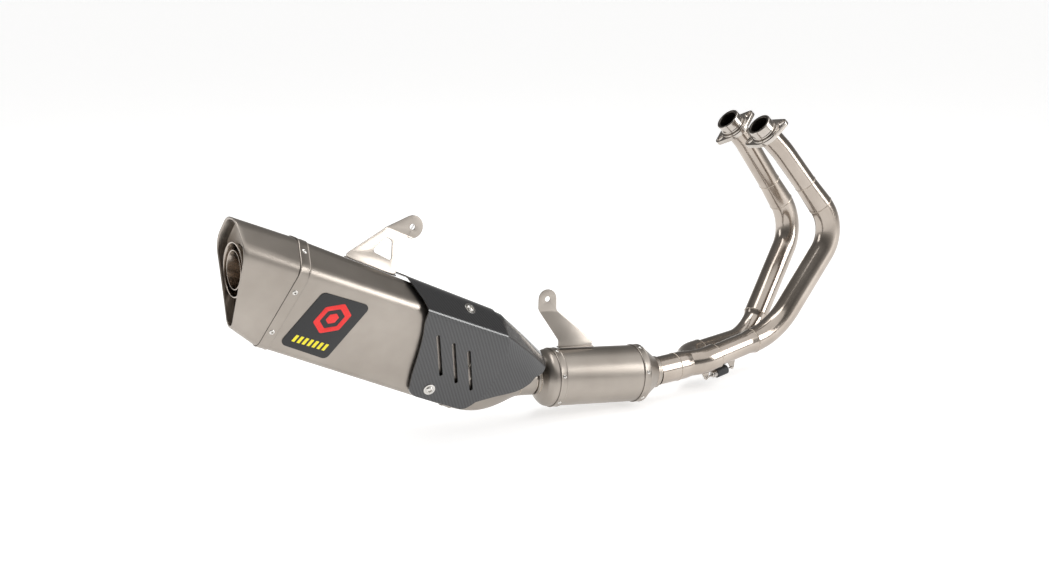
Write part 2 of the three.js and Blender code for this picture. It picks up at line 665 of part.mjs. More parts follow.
const ringTube = turnedWall([[OUTLET_RING_R, 352], [OUTLET_RING_R, 410]], 2, 32).translate(0, CORE_Y, 0);
addPiece("muffler_outlet_ring", cut(solidOf(ringTube), beyondSlash(-4)), STAINLESS, muffler);
const dishR = OUTLET_RING_R - 2 - GAP;
const dish = turned([[CORE_R + GAP, 350], [dishR, 353], [dishR, 354.5], [CORE_R + GAP, 351.5]], 24);
addPiece("muffler_outlet_dish", dish, TITANIUM, muffler).position.y = CORE_Y;
const coreTube = turnedWall([[CORE_R, 4], [CORE_R, 400]], WALL, 24).translate(0, CORE_Y, 0);
addPiece("muffler_core", cut(solidOf(coreTube), beyondSlash(-5)), STAINLESS, muffler);
const packing = loftSolid([6, SLEEVE_LENGTH - 8].map((z) => ringAt(section(-WALL - GAP, sectionAt(z)), z)));
const coreHole = plate(circleShape(CORE_R + GAP, 24), SLEEVE_LENGTH, 0).translate(0, CORE_Y, 0);
addPiece("muffler_packing", cut(packing, coreHole), WOOL, muffler);

// The muffler's flat top falls a little towards the front, and the bracket stands on it
const [crownFront, crownRear] = [FRONT_SECTION[2][1], SECTION[2][1]];
const deck = new THREE.Group();
deck.position.y = crownFront;
deck.rotation.x = -Math.atan((crownRear - crownFront) / SLEEVE_LENGTH);
muffler.add(deck);
const mufflerWeb = [[150, 0], [230, 0], [230, 5], [176, 63], [139, 63]];
const mufflerWindow = [[194, 20], [158, 17], [162, 49], [176, 50]];
const mufflerLean = THREE.MathUtils.degToRad(22.87);
const mufflerFoot = [14, 150, 230, THREE.MathUtils.degToRad(4)];
addPiece(
  "muffler_bracket",
  bracket(mufflerWeb, mufflerWindow, mufflerLean, [-11, 1.35], [137.2, 73.4], 16.5, mufflerFoot),
  BRACKET,
  deck,
);

// ---------------------------------------------------------------- label and heat shield
const flankUp = new THREE.Vector3(SECTION[1][0] - SECTION[0][0], SECTION[1][1] - SECTION[0][1], 0).normalize();
const flankOut = faceOut(flankUp);
const roofUp = new THREE.Vector3(SECTION[2][0] - SECTION[1][0], SECTION[2][1] - SECTION[1][1], 0).normalize();
const roofOut = faceOut(roofUp);

/** The outward normal of the face that runs along `up` in the section, leaning back as the sleeve narrows. */
function faceOut(up) {
  const [front, rear] = [FRONT_SECTION[1], SECTION[1]].map(([x, y]) => up.y * x - up.x * y);
  return new THREE.Vector3(up.y, -up.x, (front - rear) / SLEEVE_LENGTH).normalize();
}

/** A group on a face of the muffler: +X forwards, +Y up the face, +Z out of it, at a height y and distance z. */
function onFace(up, out, y, z) {
  const group = new THREE.Group();
  group.applyMatrix4(new THREE.Matrix4().makeBasis(up.clone().cross(out), up, out));
  const shoulder = new THREE.Vector3(...sectionAt(z)[1], z);
  group.position.copy(shoulder.addScaledVector(up, (y - SECTION[1][1]) / up.y));
  muffler.add(group);
  return group;
}

const labelCorners = [[-294, -68.5], [-221, -71], [-203, 17], [-276, 15]].map(([x, y]) => [x + 248, (y + 27) / flankUp.y]);
const label = plate(roundedPolygon(labelCorners, [8, 8, 8, 8]), 0.8, GAP, 4);
addPiece("muffler_side_label", label, LABEL, onFace(flankUp, flankOut, -27, 248));

// Outlines in (z, y)
const REAR_EDGE = [
  [138, 100], [141, 75], [146, 70], [150, 64], [144, 59], [137, 54],
  [127, 40], [112, -1], [103, -26], [94, -56], [87, -74], [79, -82],
];
const FRONT_EDGE = [[-17, -81], [-29, -59], [-32, -26], [-28, 7], [-11, 37], [-6.5, 50], [3, 60], [8, 100]];
const TIP_EDGE = [
  [-16, -82], [-24, -73], [-47, -57.5], [-75, -38.5], [-88, -22.5], [-94, -9.5],
  [-104, -0.5], [-109, 8], [-112, 16], [-118, 30], [-150, 40], [-150, 100],
];
const shape2 = (points) => new THREE.Shape(points.map((p) => new THREE.Vector2(...p)));

const slotShape = (z, y, run, drop) => {
  const along2 = new THREE.Vector2(run, -drop).normalize();
  const side = new THREE.Vector2(-along2.y, along2.x).multiplyScalar(SLOT_WIDTH / 2);
  const a = new THREE.Vector2(z, y);
  const b = new THREE.Vector2(z + run, y - drop);
  const tip = along2.clone().multiplyScalar(SLOT_WIDTH / 2);
  return new THREE.Shape([
    a.clone().add(side),
    a.clone().sub(tip),
    a.clone().sub(side),
    b.clone().sub(side),
    b.clone().add(tip),
    b.clone().add(side),
  ].reverse());
};

const screwSpots = {
  lower: onFace(flankUp, flankOut, -68, 56),
  upper: onFace(roofUp, roofOut, 49.5, 51),
};

const screwHole = (spot) => {
  spot.updateMatrix();
  return plate(circleShape(SCREW_HOLE_R, 16), 12, 0).applyMatrix4(spot.matrix);
};

// The shield covers the outboard side and the top only, so the far side is cut away below this box
const farSide = (y) => new THREE.BoxGeometry(100, 200, 500).translate(-50, y - 100, 0);

const mainWall = prismWall(SHIELD_OUTER, SHIELD_INNER, -45, 175, CREASED);
const mainOutline = sidePlate(shape2([...REAR_EDGE, [70, -86.5], [-8, -86.5], ...FRONT_EDGE]), SHIELD_FAR_EDGE, 90);
const slots = [[91, 5], [62, 1], [33, -3]].map(([z, y]) => sidePlate(slotShape(z, y, -38, 50), 15, 90));
const shieldMain = cut(
  mainWall.intersect(solidOf(mainOutline)),
  farSide(40),
  ...slots,
  ...Object.values(screwSpots).map(screwHole),
);
addPiece("heat_shield_main", shieldMain, CARBON, muffler);

const coneRings = (distance, r) => [
  ringAt(section(distance, sectionAt(16), CREASED), 16, 2),
  ...funnelRings(distance, r, -12, TIP_START, { radii: CREASED, swell: 0.01, steps: 5 }),
];
const coneWall = loftWall(coneRings(CONE_OUTER, TIP_R), coneRings(CONE_INNER, TIP_R - 2));
const coneOutline = [...FRONT_EDGE.slice().reverse().map(([z, y]) => [z + 5, y]), ...TIP_EDGE];
const shieldCone = cut(coneWall.intersect(solidOf(sidePlate(shape2(coneOutline), -20, 90))), farSide(0));
addPiece("heat_shield_cone", shieldCone, CARBON, muffler);

for (const [name, spot] of Object.entries(screwSpots)) {
  const top = SHIELD_OUTER + GAP;
  const screw = turned([
    [0, 1.2],
    [SCREW_HOLE_R - 0.6, 1.2],
    [SCREW_HOLE_R - 0.6, top],
    [8.5, top],
    [8.5, top + 1],
    [5.5, top + 1],
    [5, top + 3],
    [0, top + 3.6],
  ], 20);
  addPiece("heat_shield_" + name + "_screw", screw, FASTENER, spot);
  const spacer = turnedWall([[6.5, GAP], [6.5, SHIELD_INNER - GAP]], 2.8, 16);
  addPiece("heat_shield_" + name + "_spacer", spacer, RUBBER, spot);
}

export default root;
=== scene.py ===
"""Racing exhaust system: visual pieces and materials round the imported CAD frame, in millimetres."""

import math

import bmesh
import bpy
from mathutils import Matrix, Vector


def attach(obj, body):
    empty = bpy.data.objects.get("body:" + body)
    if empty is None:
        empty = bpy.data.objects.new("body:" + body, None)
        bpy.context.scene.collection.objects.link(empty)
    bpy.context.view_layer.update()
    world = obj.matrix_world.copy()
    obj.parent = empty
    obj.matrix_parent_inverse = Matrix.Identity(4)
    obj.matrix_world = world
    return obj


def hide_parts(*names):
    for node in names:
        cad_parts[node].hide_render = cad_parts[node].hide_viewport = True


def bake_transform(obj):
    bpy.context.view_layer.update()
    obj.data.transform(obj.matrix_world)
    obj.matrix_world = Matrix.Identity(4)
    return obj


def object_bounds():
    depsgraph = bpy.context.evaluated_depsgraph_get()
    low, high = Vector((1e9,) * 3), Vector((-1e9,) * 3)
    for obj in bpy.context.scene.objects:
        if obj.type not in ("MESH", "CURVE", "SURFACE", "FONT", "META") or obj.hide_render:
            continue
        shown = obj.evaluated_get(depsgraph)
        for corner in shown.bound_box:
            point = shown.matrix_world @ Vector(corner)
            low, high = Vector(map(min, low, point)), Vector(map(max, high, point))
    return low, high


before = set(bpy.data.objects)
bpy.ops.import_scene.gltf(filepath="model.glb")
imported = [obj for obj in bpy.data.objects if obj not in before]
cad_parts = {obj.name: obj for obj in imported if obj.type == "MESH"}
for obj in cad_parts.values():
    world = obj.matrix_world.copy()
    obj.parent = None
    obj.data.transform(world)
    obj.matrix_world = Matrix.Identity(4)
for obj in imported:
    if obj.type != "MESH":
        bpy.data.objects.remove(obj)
CAD_LOW, CAD_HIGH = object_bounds()
MM = 0.001
TAU = 2 * math.pi

# ---------------------------------------------------------------- dimensions shared with the CAD
GAP = 0.3
WALL = 1.5
PORT_SPACING = 88
PORT_TILT = math.radians(44)
COLLAR_LENGTH = 16.5
MAIN_R, PRIMARY_R, TAIL_R = 20, 18, 18
STEP_LENGTH = 47
TAIL_ENGAGED = 21
OUTLET_R = 22
SHELL_R, SHELL_HALF = 43, 77.5
CONE_START = -SHELL_HALF - 30.5
CAP_LENGTH = 21
BEAD_R = 24.5
SPRING_DROP, SPRING_FRONT, SPRING_REAR = 29, 32, 23
SLEEVE_LENGTH = 319
BAND = 16
FRONT_SECTION = ((9, -89.5), (60, 33), (32.2, 57))
SECTION = ((9, -81), (56.5, 33), (16, 68))
OUTLET_SECTION = ((9, -48), (51.5, 30), (15, 67))
ROUNDING = (12, 21, 26)
OUTLET_ROUNDING = (12, 28, 34)
CREASED = (12, 2.2, 26)
OUTLET_Z = 425
SLASH_CENTRE, SLASH_SLOPE = 385, 0.364
CORE_R, CORE_Y = 24.5, 4
RING_R = 33.5
SHIELD_INNER, SHIELD_OUTER = 5, 7
CONE_INNER, CONE_OUTER = 2.9, 4.7
CONE_TIP_R, CONE_TIP_AT = 46, 100
INLET_R, INLET_END = 24.6, 131.3
SHIELD_FAR_EDGE = -24
EAR_HOLE_R = 4.25


# ---------------------------------------------------------------- frames
def frame_at(origin, direction):
    """A frame in metres whose +Z runs along a direction and whose +Y stays as near to up as it can."""
    z = Vector(direction).normalized()
    x = Vector((0, 0, 1)).cross(z).normalized()
    placed = Matrix((x, z.cross(x), z)).transposed().to_4x4()
    placed.translation = Vector(origin) * MM
    return placed


PORT_AXIS = (math.cos(PORT_TILT), 0, -math.sin(PORT_TILT))
RESONATOR_CENTRE = Vector((-322, -94, -358.5))
RESONATOR_AXIS = Vector((-1, 0, 13 / 155)).normalized()
RESONATOR = frame_at(RESONATOR_CENTRE, RESONATOR_AXIS)
RISE, YAW = math.radians(23.5), math.radians(7)
MUFFLER = frame_at(
    (-532, -107, -287), (-math.cos(RISE) * math.cos(YAW), -math.cos(RISE) * math.sin(YAW), math.sin(RISE))
)
WORLD = Matrix.Identity(4)


def in_muffler(point_mm):
    """A point of the resonator's frame, in the muffler's frame."""
    return (MUFFLER.inverted() @ (RESONATOR @ (Vector(point_mm) * MM))) / MM


def on_resonator(z):
    return RESONATOR_CENTRE + RESONATOR_AXIS * z


# ---------------------------------------------------------------- mesh building
def finished(name, mesh, placed, material, body, nodes=(), slot=None, sharp=32):
    """A placed mesh object with sharp edges kept, riding on a body and standing for CAD nodes."""
    mesh.polygons.foreach_set("use_smooth", [True] * len(mesh.polygons))
    mesh.set_sharp_from_angle(angle=math.radians(sharp))
    mesh.materials.clear()
    mesh.materials.append(material)
    piece = bpy.data.objects.new(name, mesh)
    bpy.context.scene.collection.objects.link(piece)
    piece.matrix_world = placed
    if body:
        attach(piece, body)
    if nodes:
        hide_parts(*nodes)
    return piece


def mesh_of(name, points, faces, uvs=None):
    """A mesh from points in millimetres, facing out, with the weave's UVs given per point in millimetres."""
    mesh = bpy.data.meshes.new(name)
    mesh.from_pydata([Vector(p) * MM for p in points], [], faces)
    if uvs:
        layer = mesh.uv_layers.new(name="weave")
        for loop in mesh.loops:
            layer.data[loop.index].uv = uvs[loop.vertex_index]
    work = bmesh.new()
    work.from_mesh(mesh)
    bmesh.ops.recalc_face_normals(work, faces=work.faces)
    work.to_mesh(mesh)
    work.free()
    return mesh


def solid(name, parts, *where, **choices):
    """The same as finished, from (points, faces)."""
    return finished(name, mesh_of(name, *parts), *where, **choices)


def grid(rows, round_rows=True, round_columns=True):
    """Points and quads of a surface through rows of points, closed both ways unless told otherwise."""
    count = len(rows[0])
    points = [p for row in rows for p in row]
    faces = []
    for i in range(len(rows) if round_columns else len(rows) - 1):
        after = (i + 1) % len(rows)
        for k in range(count if round_rows else count - 1):
            beside = (k + 1) % count
            faces.append((i * count + k, i * count + beside, after * count + beside, after * count + k))
    return points, faces


def merged(parts):
    """Several (points, faces) as one."""
    points, faces = [], []
    for some, quads in parts:
        start = len(points)
        points += some
        faces += [tuple(start + i for i in quad) for quad in quads]
    return points, faces


def fillet(profile, radius, steps=4, closed=True):
    """A 2-D outline with its corners rounded; a radius may be given per corner."""
    out = []
    count = len(profile)
    for i, corner in enumerate(profile):
        r = radius[i] if isinstance(radius, (list, tuple)) else radius
        ends = not closed and i in (0, count - 1)
        if ends or r <= 0:
            out.append(tuple(corner))
            continue
        c = Vector(corner)
        a = Vector(profile[i - 1]) - c
        b = Vector(profile[(i + 1) % count]) - c
        half = a.angle(b) / 2
        reach = min(r / max(math.tan(half), 1e-6), a.length * 0.49, b.length * 0.49)
        r = reach * math.tan(half)
        if half > math.radians(88):
            out.append(tuple(corner))
            continue
        a.normalize()
        b.normalize()
        centre = c + (a + b).normalized() * (r / math.sin(half))
        start, end = c + a * reach - centre, c + b * reach - centre
        turn = math.atan2(start.x * end.y - start.y * end.x, start.dot(end))
        for k in range(steps + 1):
            spot = Matrix.Rotation(turn * k / steps, 2) @ start
            out.append(tuple(centre + spot))
    return out


def lathe(profile, segments=96):
    """A closed profile of (radius, z) turned round +Z."""
    ring = [(math.cos(TAU * k / segments), math.sin(TAU * k / segments)) for k in range(segments)]
    return grid([[(r * c, r * s, z) for c, s in ring] for r, z in profile])


def wall_profile(outer, wall):
    return [*outer, *[(r - wall, z) for r, z in reversed(outer)]]


def bent_path(corners, radii, step=3.0):
    """Points and directions along straight runs joined by bends of the given radii."""
    corners = [Vector(c) for c in corners]
    points = []

    def run(a, b):
        n = max(1, round((b - a).length / (step * 4)))
        points.extend(a.lerp(b, i / n) for i in range(n))

    at = corners[0]
    for i, radius in enumerate(radii, 1):
        back = (corners[i - 1] - corners[i]).normalized()
        ahead = (corners[i + 1] - corners[i]).normalized()
        half = back.angle(ahead) / 2
        start = corners[i] + back * (radius / math.tan(half))
        centre = corners[i] + (back + ahead).normalized() * (radius / math.sin(half))
        turn = math.pi - 2 * half
        axis = (start - centre).cross(-back).normalized()
        run(at, start)
        n = max(2, round(radius * turn / step))
        points.extend(centre + Matrix.Rotation(turn * k / n, 3, axis) @ (start - centre) for k in range(n))
        at = centre + Matrix.Rotation(turn, 3, axis) @ (start - centre)
    run(at, corners[-1])
    points.append(corners[-1])
    return points


def rings_along(points, radius, sides, up=None):
    """Circles of points round a path, turned as little as possible from one to the next."""
    rings = []
    normal = up
    for i, p in enumerate(points):
        ahead = points[min(i + 1, len(points) - 1)]
        behind = points[max(i - 1, 0)]
        along = (ahead - behind).normalized()
        if normal is None:
            normal = along.orthogonal()
        normal = (normal - along * normal.dot(along)).normalized()
        other = along.cross(normal)
        r = radius(i / (len(points) - 1)) if callable(radius) else radius
        rings.append(
            [
                p + (normal * math.cos(TAU * k / sides) + other * math.sin(TAU * k / sides)) * r
                for k in range(sides)
            ]
        )
    return rings


def tube(points, outer, wall=WALL, sides=56):
    """A hollow tube along a path: the outer wall, then the inner wall back."""
    outside = rings_along(points, outer, sides)
    inside = rings_along(points, (lambda t: outer(t) - wall) if callable(outer) else outer - wall, sides)
    return grid([*outside, *reversed(inside)])


def rod(points, radius, sides=12):
    """A solid round wire along a path, with flat ends."""
    rings = rings_along(points, radius, sides)
    made, faces = grid(rings, round_columns=False)
    last = (len(rings) - 1) * sides
    return made, [*faces, tuple(reversed(range(sides))), tuple(range(last, last + sides))]


def weld(centre, axis, radius, bead=0.95, reach=2.1):
    """A weld bead round a pipe, with the even ripples of a hand-fed rod."""
    axis = Vector(axis).normalized()
    u = axis.orthogonal().normalized()
    v = axis.cross(u)
    ripples = round(TAU * radius / 2.6)
    steps = ripples * 5
    rows = []
    for i in range(steps):
        angle = TAU * i / steps
        out = u * math.cos(angle) + v * math.sin(angle)
        phase = (i % 5) / 5
        high = bead * (0.72 + 0.28 * math.sin(math.pi * phase))
        shift = axis * (0.35 * math.sin(math.pi * phase))
        row = []
        for k in range(8):
            around = TAU * k / 8
            row.append(
                Vector(centre) + shift + out * (
                    radius - 0.25 + high * math.sin(around)
                ) + axis * (reach * 0.5 * math.cos(around))
            )
        rows.append(row)
    return grid(rows)


# ---------------------------------------------------------------- materials
def node_tree(name):
    material = bpy.data.materials.new(name)
    material.use_nodes = True
    tree = material.node_tree
    shader = next(n for n in tree.nodes if n.type == "BSDF_PRINCIPLED")
    return material, tree, shader


def ramp(tree, source, low, high, at=(0.0, 1.0)):
    """A colour ramp between two colours, fed by a value."""
    node = tree.nodes.new("ShaderNodeValToRGB")
    first, last = node.color_ramp.elements
    first.position, last.position = at
    first.color, last.color = (*low, 1), (*high, 1)
    tree.links.new(source, node.inputs["Fac"])
    return node.outputs["Color"]


def spread(tree, source, low, high):
    """A value mapped from 0..1 to low..high."""
    node = tree.nodes.new("ShaderNodeMapRange")
    node.inputs["To Min"].default_value = low
    node.inputs["To Max"].default_value = high
    tree.links.new(source, node.inputs["Value"])
    return node.outputs["Result"]


def noise(tree, scale, detail=4.0, stretch=(1, 1, 1), source="Object"):
    where = tree.nodes.new("ShaderNodeTexCoord")
    mapping = tree.nodes.new("ShaderNodeMapping")
    mapping.inputs["Scale"].default_value = stretch
    tree.links.new(where.outputs[source], mapping.inputs["Vector"])
    node = tree.nodes.new("ShaderNodeTexNoise")
    node.inputs["Scale"].default_value = scale
    node.inputs["Detail"].default_value = detail
    tree.links.new(mapping.outputs["Vector"], node.inputs["Vector"])
    return node.outputs["Fac"]


def bump(tree, shader, height, strength, distance):
    node = tree.nodes.new("ShaderNodeBump")
    node.inputs["Strength"].default_value = strength
    node.inputs["Distance"].default_value = distance
    tree.links.new(height, node.inputs["Height"])
    tree.links.new(node.outputs["Normal"], shader.inputs["Normal"])


def metal(name, low, high, rough, grain=(60, (1, 1, 1)), grain_depth=0.12, blotch=14):
    """Bare metal: slow colour changes, a fine grain in one direction and uneven gloss."""
    material, tree, shader = node_tree(name)
    shader.inputs["Metallic"].default_value = 1.0
    slow = noise(tree, blotch, 3)
    tree.links.new(ramp(tree, slow, low, high, (0.3, 0.72)), shader.inputs["Base Color"])
    scale, stretch = grain
    fine = noise(tree, scale, 6, stretch)
    tree.links.new(spread(tree, fine, *rough), shader.inputs["Roughness"])
    bump(tree, shader, fine, grain_depth, 0.0002)
    return material


TITANIUM = metal(
    "titanium_satin", (0.33, 0.295, 0.26), (0.41, 0.37, 0.33), (0.30, 0.40), (900, (1, 1, 0.03)), 0.05
)
TITANIUM_TURNED = metal(
    "titanium_turned", (0.33, 0.295, 0.26), (0.41, 0.37, 0.33), (0.30, 0.40), (900, (0.05, 0.05, 1)), 0.05
)
STAINLESS = metal(
    "stainless_polished", (0.38, 0.33, 0.285), (0.48, 0.425, 0.375), (0.14, 0.22), (240, (1, 1, 1)), 0.03, 20
)
WELD = metal("weld_bead", (0.34, 0.29, 0.24), (0.56, 0.49, 0.42), (0.2, 0.34), (500, (1, 1, 1)), 0.1, 120)
MACHINED = metal(
    "machined_steel", (0.45, 0.41, 0.37), (0.56, 0.52, 0.48), (0.13, 0.24), (900, (1, 1, 1)), 0.05, 40
)
SHEET = metal(
    "brushed_sheet", (0.34, 0.305, 0.27), (0.42, 0.38, 0.34), (0.26, 0.38), (1200, (1, 0.04, 1)), 0.06, 20
)
SPRING = metal("spring_wire", (0.45, 0.42, 0.39), (0.62, 0.59, 0.56), (0.18, 0.3), (700, (1, 1, 1)), 0.05, 90)
BRIGHT = metal(
    "bright_fastener", (0.58, 0.56, 0.53), (0.70, 0.68, 0.65), (0.12, 0.22), (700, (1, 1, 1)), 0.04, 60
)
# Near-black metal for the outlet dish: painted shade in the gap between the tip ring and the inner tube.
DISH_PAINTED_SHADE = metal(
    "outlet_dish_painted_shade", (0.10, 0.085, 0.07), (0.22, 0.19, 0.16), (0.35, 0.55), (300, (1, 1, 1)), 0.1, 40
)
# Near-black metal for the port mouth: painted shade inside the bore, carried out onto the edge of its face.
PORT_PAINTED_SHADE = metal(
    "port_rim_painted_shade", (0.10, 0.09, 0.08), (0.20, 0.18, 0.16), (0.22, 0.4), (300, (1, 1, 1)), 0.05, 60
)


def plain(name, low, high, rough, scale=180, depth=0.1, metallic=0.0):
    material, tree, shader = node_tree(name)
    shader.inputs["Metallic"].default_value = metallic
    fine = noise(tree, scale, 5)
    tree.links.new(ramp(tree, fine, low, high, (0.3, 0.7)), shader.inputs["Base Color"])
    tree.links.new(spread(tree, fine, *rough), shader.inputs["Roughness"])
    bump(tree, shader, fine, depth, 0.0003)
    return material


RUBBER = plain("black_rubber", (0.012, 0.012, 0.013), (0.03, 0.03, 0.032), (0.45, 0.7), 400)
LABEL_BLACK = plain("label_black", (0.008, 0.008, 0.009), (0.016, 0.016, 0.017), (0.3, 0.42), 900, 0.03)
LABEL_RED = plain("label_red", (0.78, 0.012, 0.012), (0.90, 0.025, 0.02), (0.3, 0.4), 900, 0.03)
LABEL_YELLOW = plain("label_yellow", (0.85, 0.72, 0.01), (0.95, 0.84, 0.03), (0.3, 0.4), 900, 0.03)
WOOL = plain("packing_wool", (0.45, 0.40, 0.22), (0.72, 0.68, 0.48), (0.9, 1.0), 700, 1.0)


def carbon():
    """Clear-coated 2x2 twill: two sets of tows, each over two and under two, set off by one at each step."""
    material, tree, shader = node_tree("carbon_twill")
    tow = 1.55
    where = tree.nodes.new("ShaderNodeUVMap")
    where.uv_map = "weave"
    turn = tree.nodes.new("ShaderNodeMapping")
    turn.inputs["Scale"].default_value = (1 / tow, 1 / tow, 1)
    tree.links.new(where.outputs["UV"], turn.inputs["Vector"])
    split = tree.nodes.new("ShaderNodeSeparateXYZ")
    tree.links.new(turn.outputs["Vector"], split.inputs["Vector"])

    def math_node(operation, a, b=None, c=None):
        node = tree.nodes.new("ShaderNodeMath")
        node.operation = operation
        for socket, value in zip(node.inputs, (a, b, c)):
            if value is None:
                continue
            if isinstance(value, (int, float)):
                socket.default_value = value
            else:
                tree.links.new(value, socket)
        return node.outputs[0]

    x, y = split.outputs["X"], split.outputs["Y"]
    column, row = math_node("FLOOR", x), math_node("FLOOR", y)
    step = math_node("FLOORED_MODULO", math_node("SUBTRACT", column, row), 4)
    over = math_node("LESS_THAN", step, 1.5)
    across_x = math_node("SUBTRACT", math_node("FRACT", x), 0.5)
    across_y = math_node("SUBTRACT", math_node("FRACT", y), 0.5)

    def crown(value):
        return math_node("SUBTRACT", 1.0, math_node("MULTIPLY", math_node("MULTIPLY", value, value), 3.2))

    warp, weft = crown(across_x), crown(across_y)
    blend = tree.nodes.new("ShaderNodeMix")
    tree.links.new(over, blend.inputs[0])
    tree.links.new(weft, blend.inputs[2])
    tree.links.new(warp, blend.inputs[3])
    height = blend.outputs[0]
    strand_x = math_node("SINE", math_node("MULTIPLY", x, 62.0))
    strand_y = math_node("SINE", math_node("MULTIPLY", y, 62.0))
    strand = tree.nodes.new("ShaderNodeMix")
    tree.links.new(over, strand.inputs[0])
    tree.links.new(strand_y, strand.inputs[2])
    tree.links.new(strand_x, strand.inputs[3])
    # Painted sheen and shade in the base colour: tows running one way are lighter than those running the
    # other, and each tow is lighter along its crown and darker at its edges, where shade falls between tows.
    tone = math_node("MULTIPLY_ADD", over, 0.62, math_node("MULTIPLY", height, 0.38))
    tree.links.new(
        ramp(tree, tone, (0.003, 0.003, 0.0033), (0.030, 0.030, 0.032), (0.1, 1.0)),
        shader.inputs["Base Color"]
    )
    relief = math_node("MULTIPLY_ADD", strand.outputs[0], 0.05, height)
    shader.inputs["Metallic"].default_value = 0.1
    tree.links.new(spread(tree, over, 0.42, 0.30), shader.inputs["Roughness"])
    shader.inputs["Coat Weight"].default_value = 1.0
    shader.inputs["Coat Roughness"].default_value = 0.04
    bump(tree, shader, relief, 0.5, 0.0001)
    return material


CARBON = carbon()


# ---------------------------------------------------------------- header pipes
HEADERS = (
    {
        "name": "right", "port": (0, -PORT_SPACING / 2, 0), "turn": math.radians(132),
        "corners": ((46, -46, -44), (153, -58, -177), (27, -69, -337)), "radii": (120, 62, 120),
        "mouth": (-98, -88, -358), "weld_to_corner": 52, "tail_after_bend": True, "tail_offset": 49,
    },
    {
        "name": "left", "port": (0, PORT_SPACING / 2, 0), "turn": math.radians(111),
        "corners": ((36, 46, -36), (158, 64, -190), (20, -4, -360)), "radii": (120, 62, 90),
        "mouth": (-100, -44, -362), "weld_to_corner": 54, "tail_after_bend": False, "tail_offset": 44,
    },
)


def along(a, b, distance):
    a, b = Vector(a), Vector(b)
    return a + (b - a).normalized() * distance


def outline_flange():
    """Half-turn-symmetric two-bolt flange: hub, ears and their tangent edges."""
    reach, hub, ear = 30, 27, 8.5
    tangent = math.acos((hub - ear) / reach)
    points = []

    def arc(cx, r, a, b, n):
        points.extend(
            (cx + r * math.cos(a + (b - a) * i / n), r * math.sin(a + (b - a) * i / n)) for i in range(n + 1)
        )

    arc(reach, ear, -tangent, tangent, 16)
    arc(0, hub, tangent, math.pi - tangent, 24)
    arc(-reach, ear, math.pi - tangent, math.pi + tangent, 16)
    arc(0, hub, math.pi + tangent, TAU - tangent, 24)
    return points


def circle(cx, cy, r, n=32):
    return [(cx + r * math.cos(TAU * i / n), cy + r * math.sin(TAU * i / n)) for i in range(n)]


def slot_outline(cx, cy, r, half, n=12):
    right = [
        (cx + half + r * math.cos(a), cy + r * math.sin(a))
        for a in (-math.pi / 2 + math.pi * i / n for i in range(n + 1))
    ]
    left = [
        (cx - half + r * math.cos(a), cy + r * math.sin(a))
        for a in (math.pi / 2 + math.pi * i / n for i in range(n + 1))
    ]
    return right + left


def flat_sheet(outline, holes, z, thickness, bevel=0.35):
    """A sheet-metal blank with holes, its edges a little rounded, as a mesh in metres lying from z up."""
    curve = bpy.data.curves.new("blank", "CURVE")
    curve.dimensions = "2D"
    curve.fill_mode = "BOTH"
    curve.extrude = (thickness / 2 - bevel) * MM
    curve.bevel_depth = bevel * MM
    curve.bevel_resolution = 2
    curve.offset = -bevel * MM
    for loop in (outline, *holes):
        spline = curve.splines.new("POLY")
        spline.points.add(len(loop) - 1)
        spline.use_cyclic_u = True
        for spot, (x, y) in zip(spline.points, loop):
            spot.co = (x * MM, y * MM, 0, 1)
    holder = bpy.data.objects.new("blank", curve)
    bpy.context.scene.collection.objects.link(holder)
    bpy.context.view_layer.update()
    mesh = bpy.data.meshes.new_from_object(holder.evaluated_get(bpy.context.evaluated_depsgraph_get()))
    bpy.data.objects.remove(holder)
    mesh.transform(Matrix.Translation((0, 0, (z + thickness / 2) * MM)))
    work = bmesh.new()
    work.from_mesh(mesh)
    bmesh.ops.remove_doubles(work, verts=work.verts, dist=0.00002)
    bmesh.ops.recalc_face_normals(work, faces=work.faces)
    work.to_mesh(mesh)
    work.free()
    return mesh


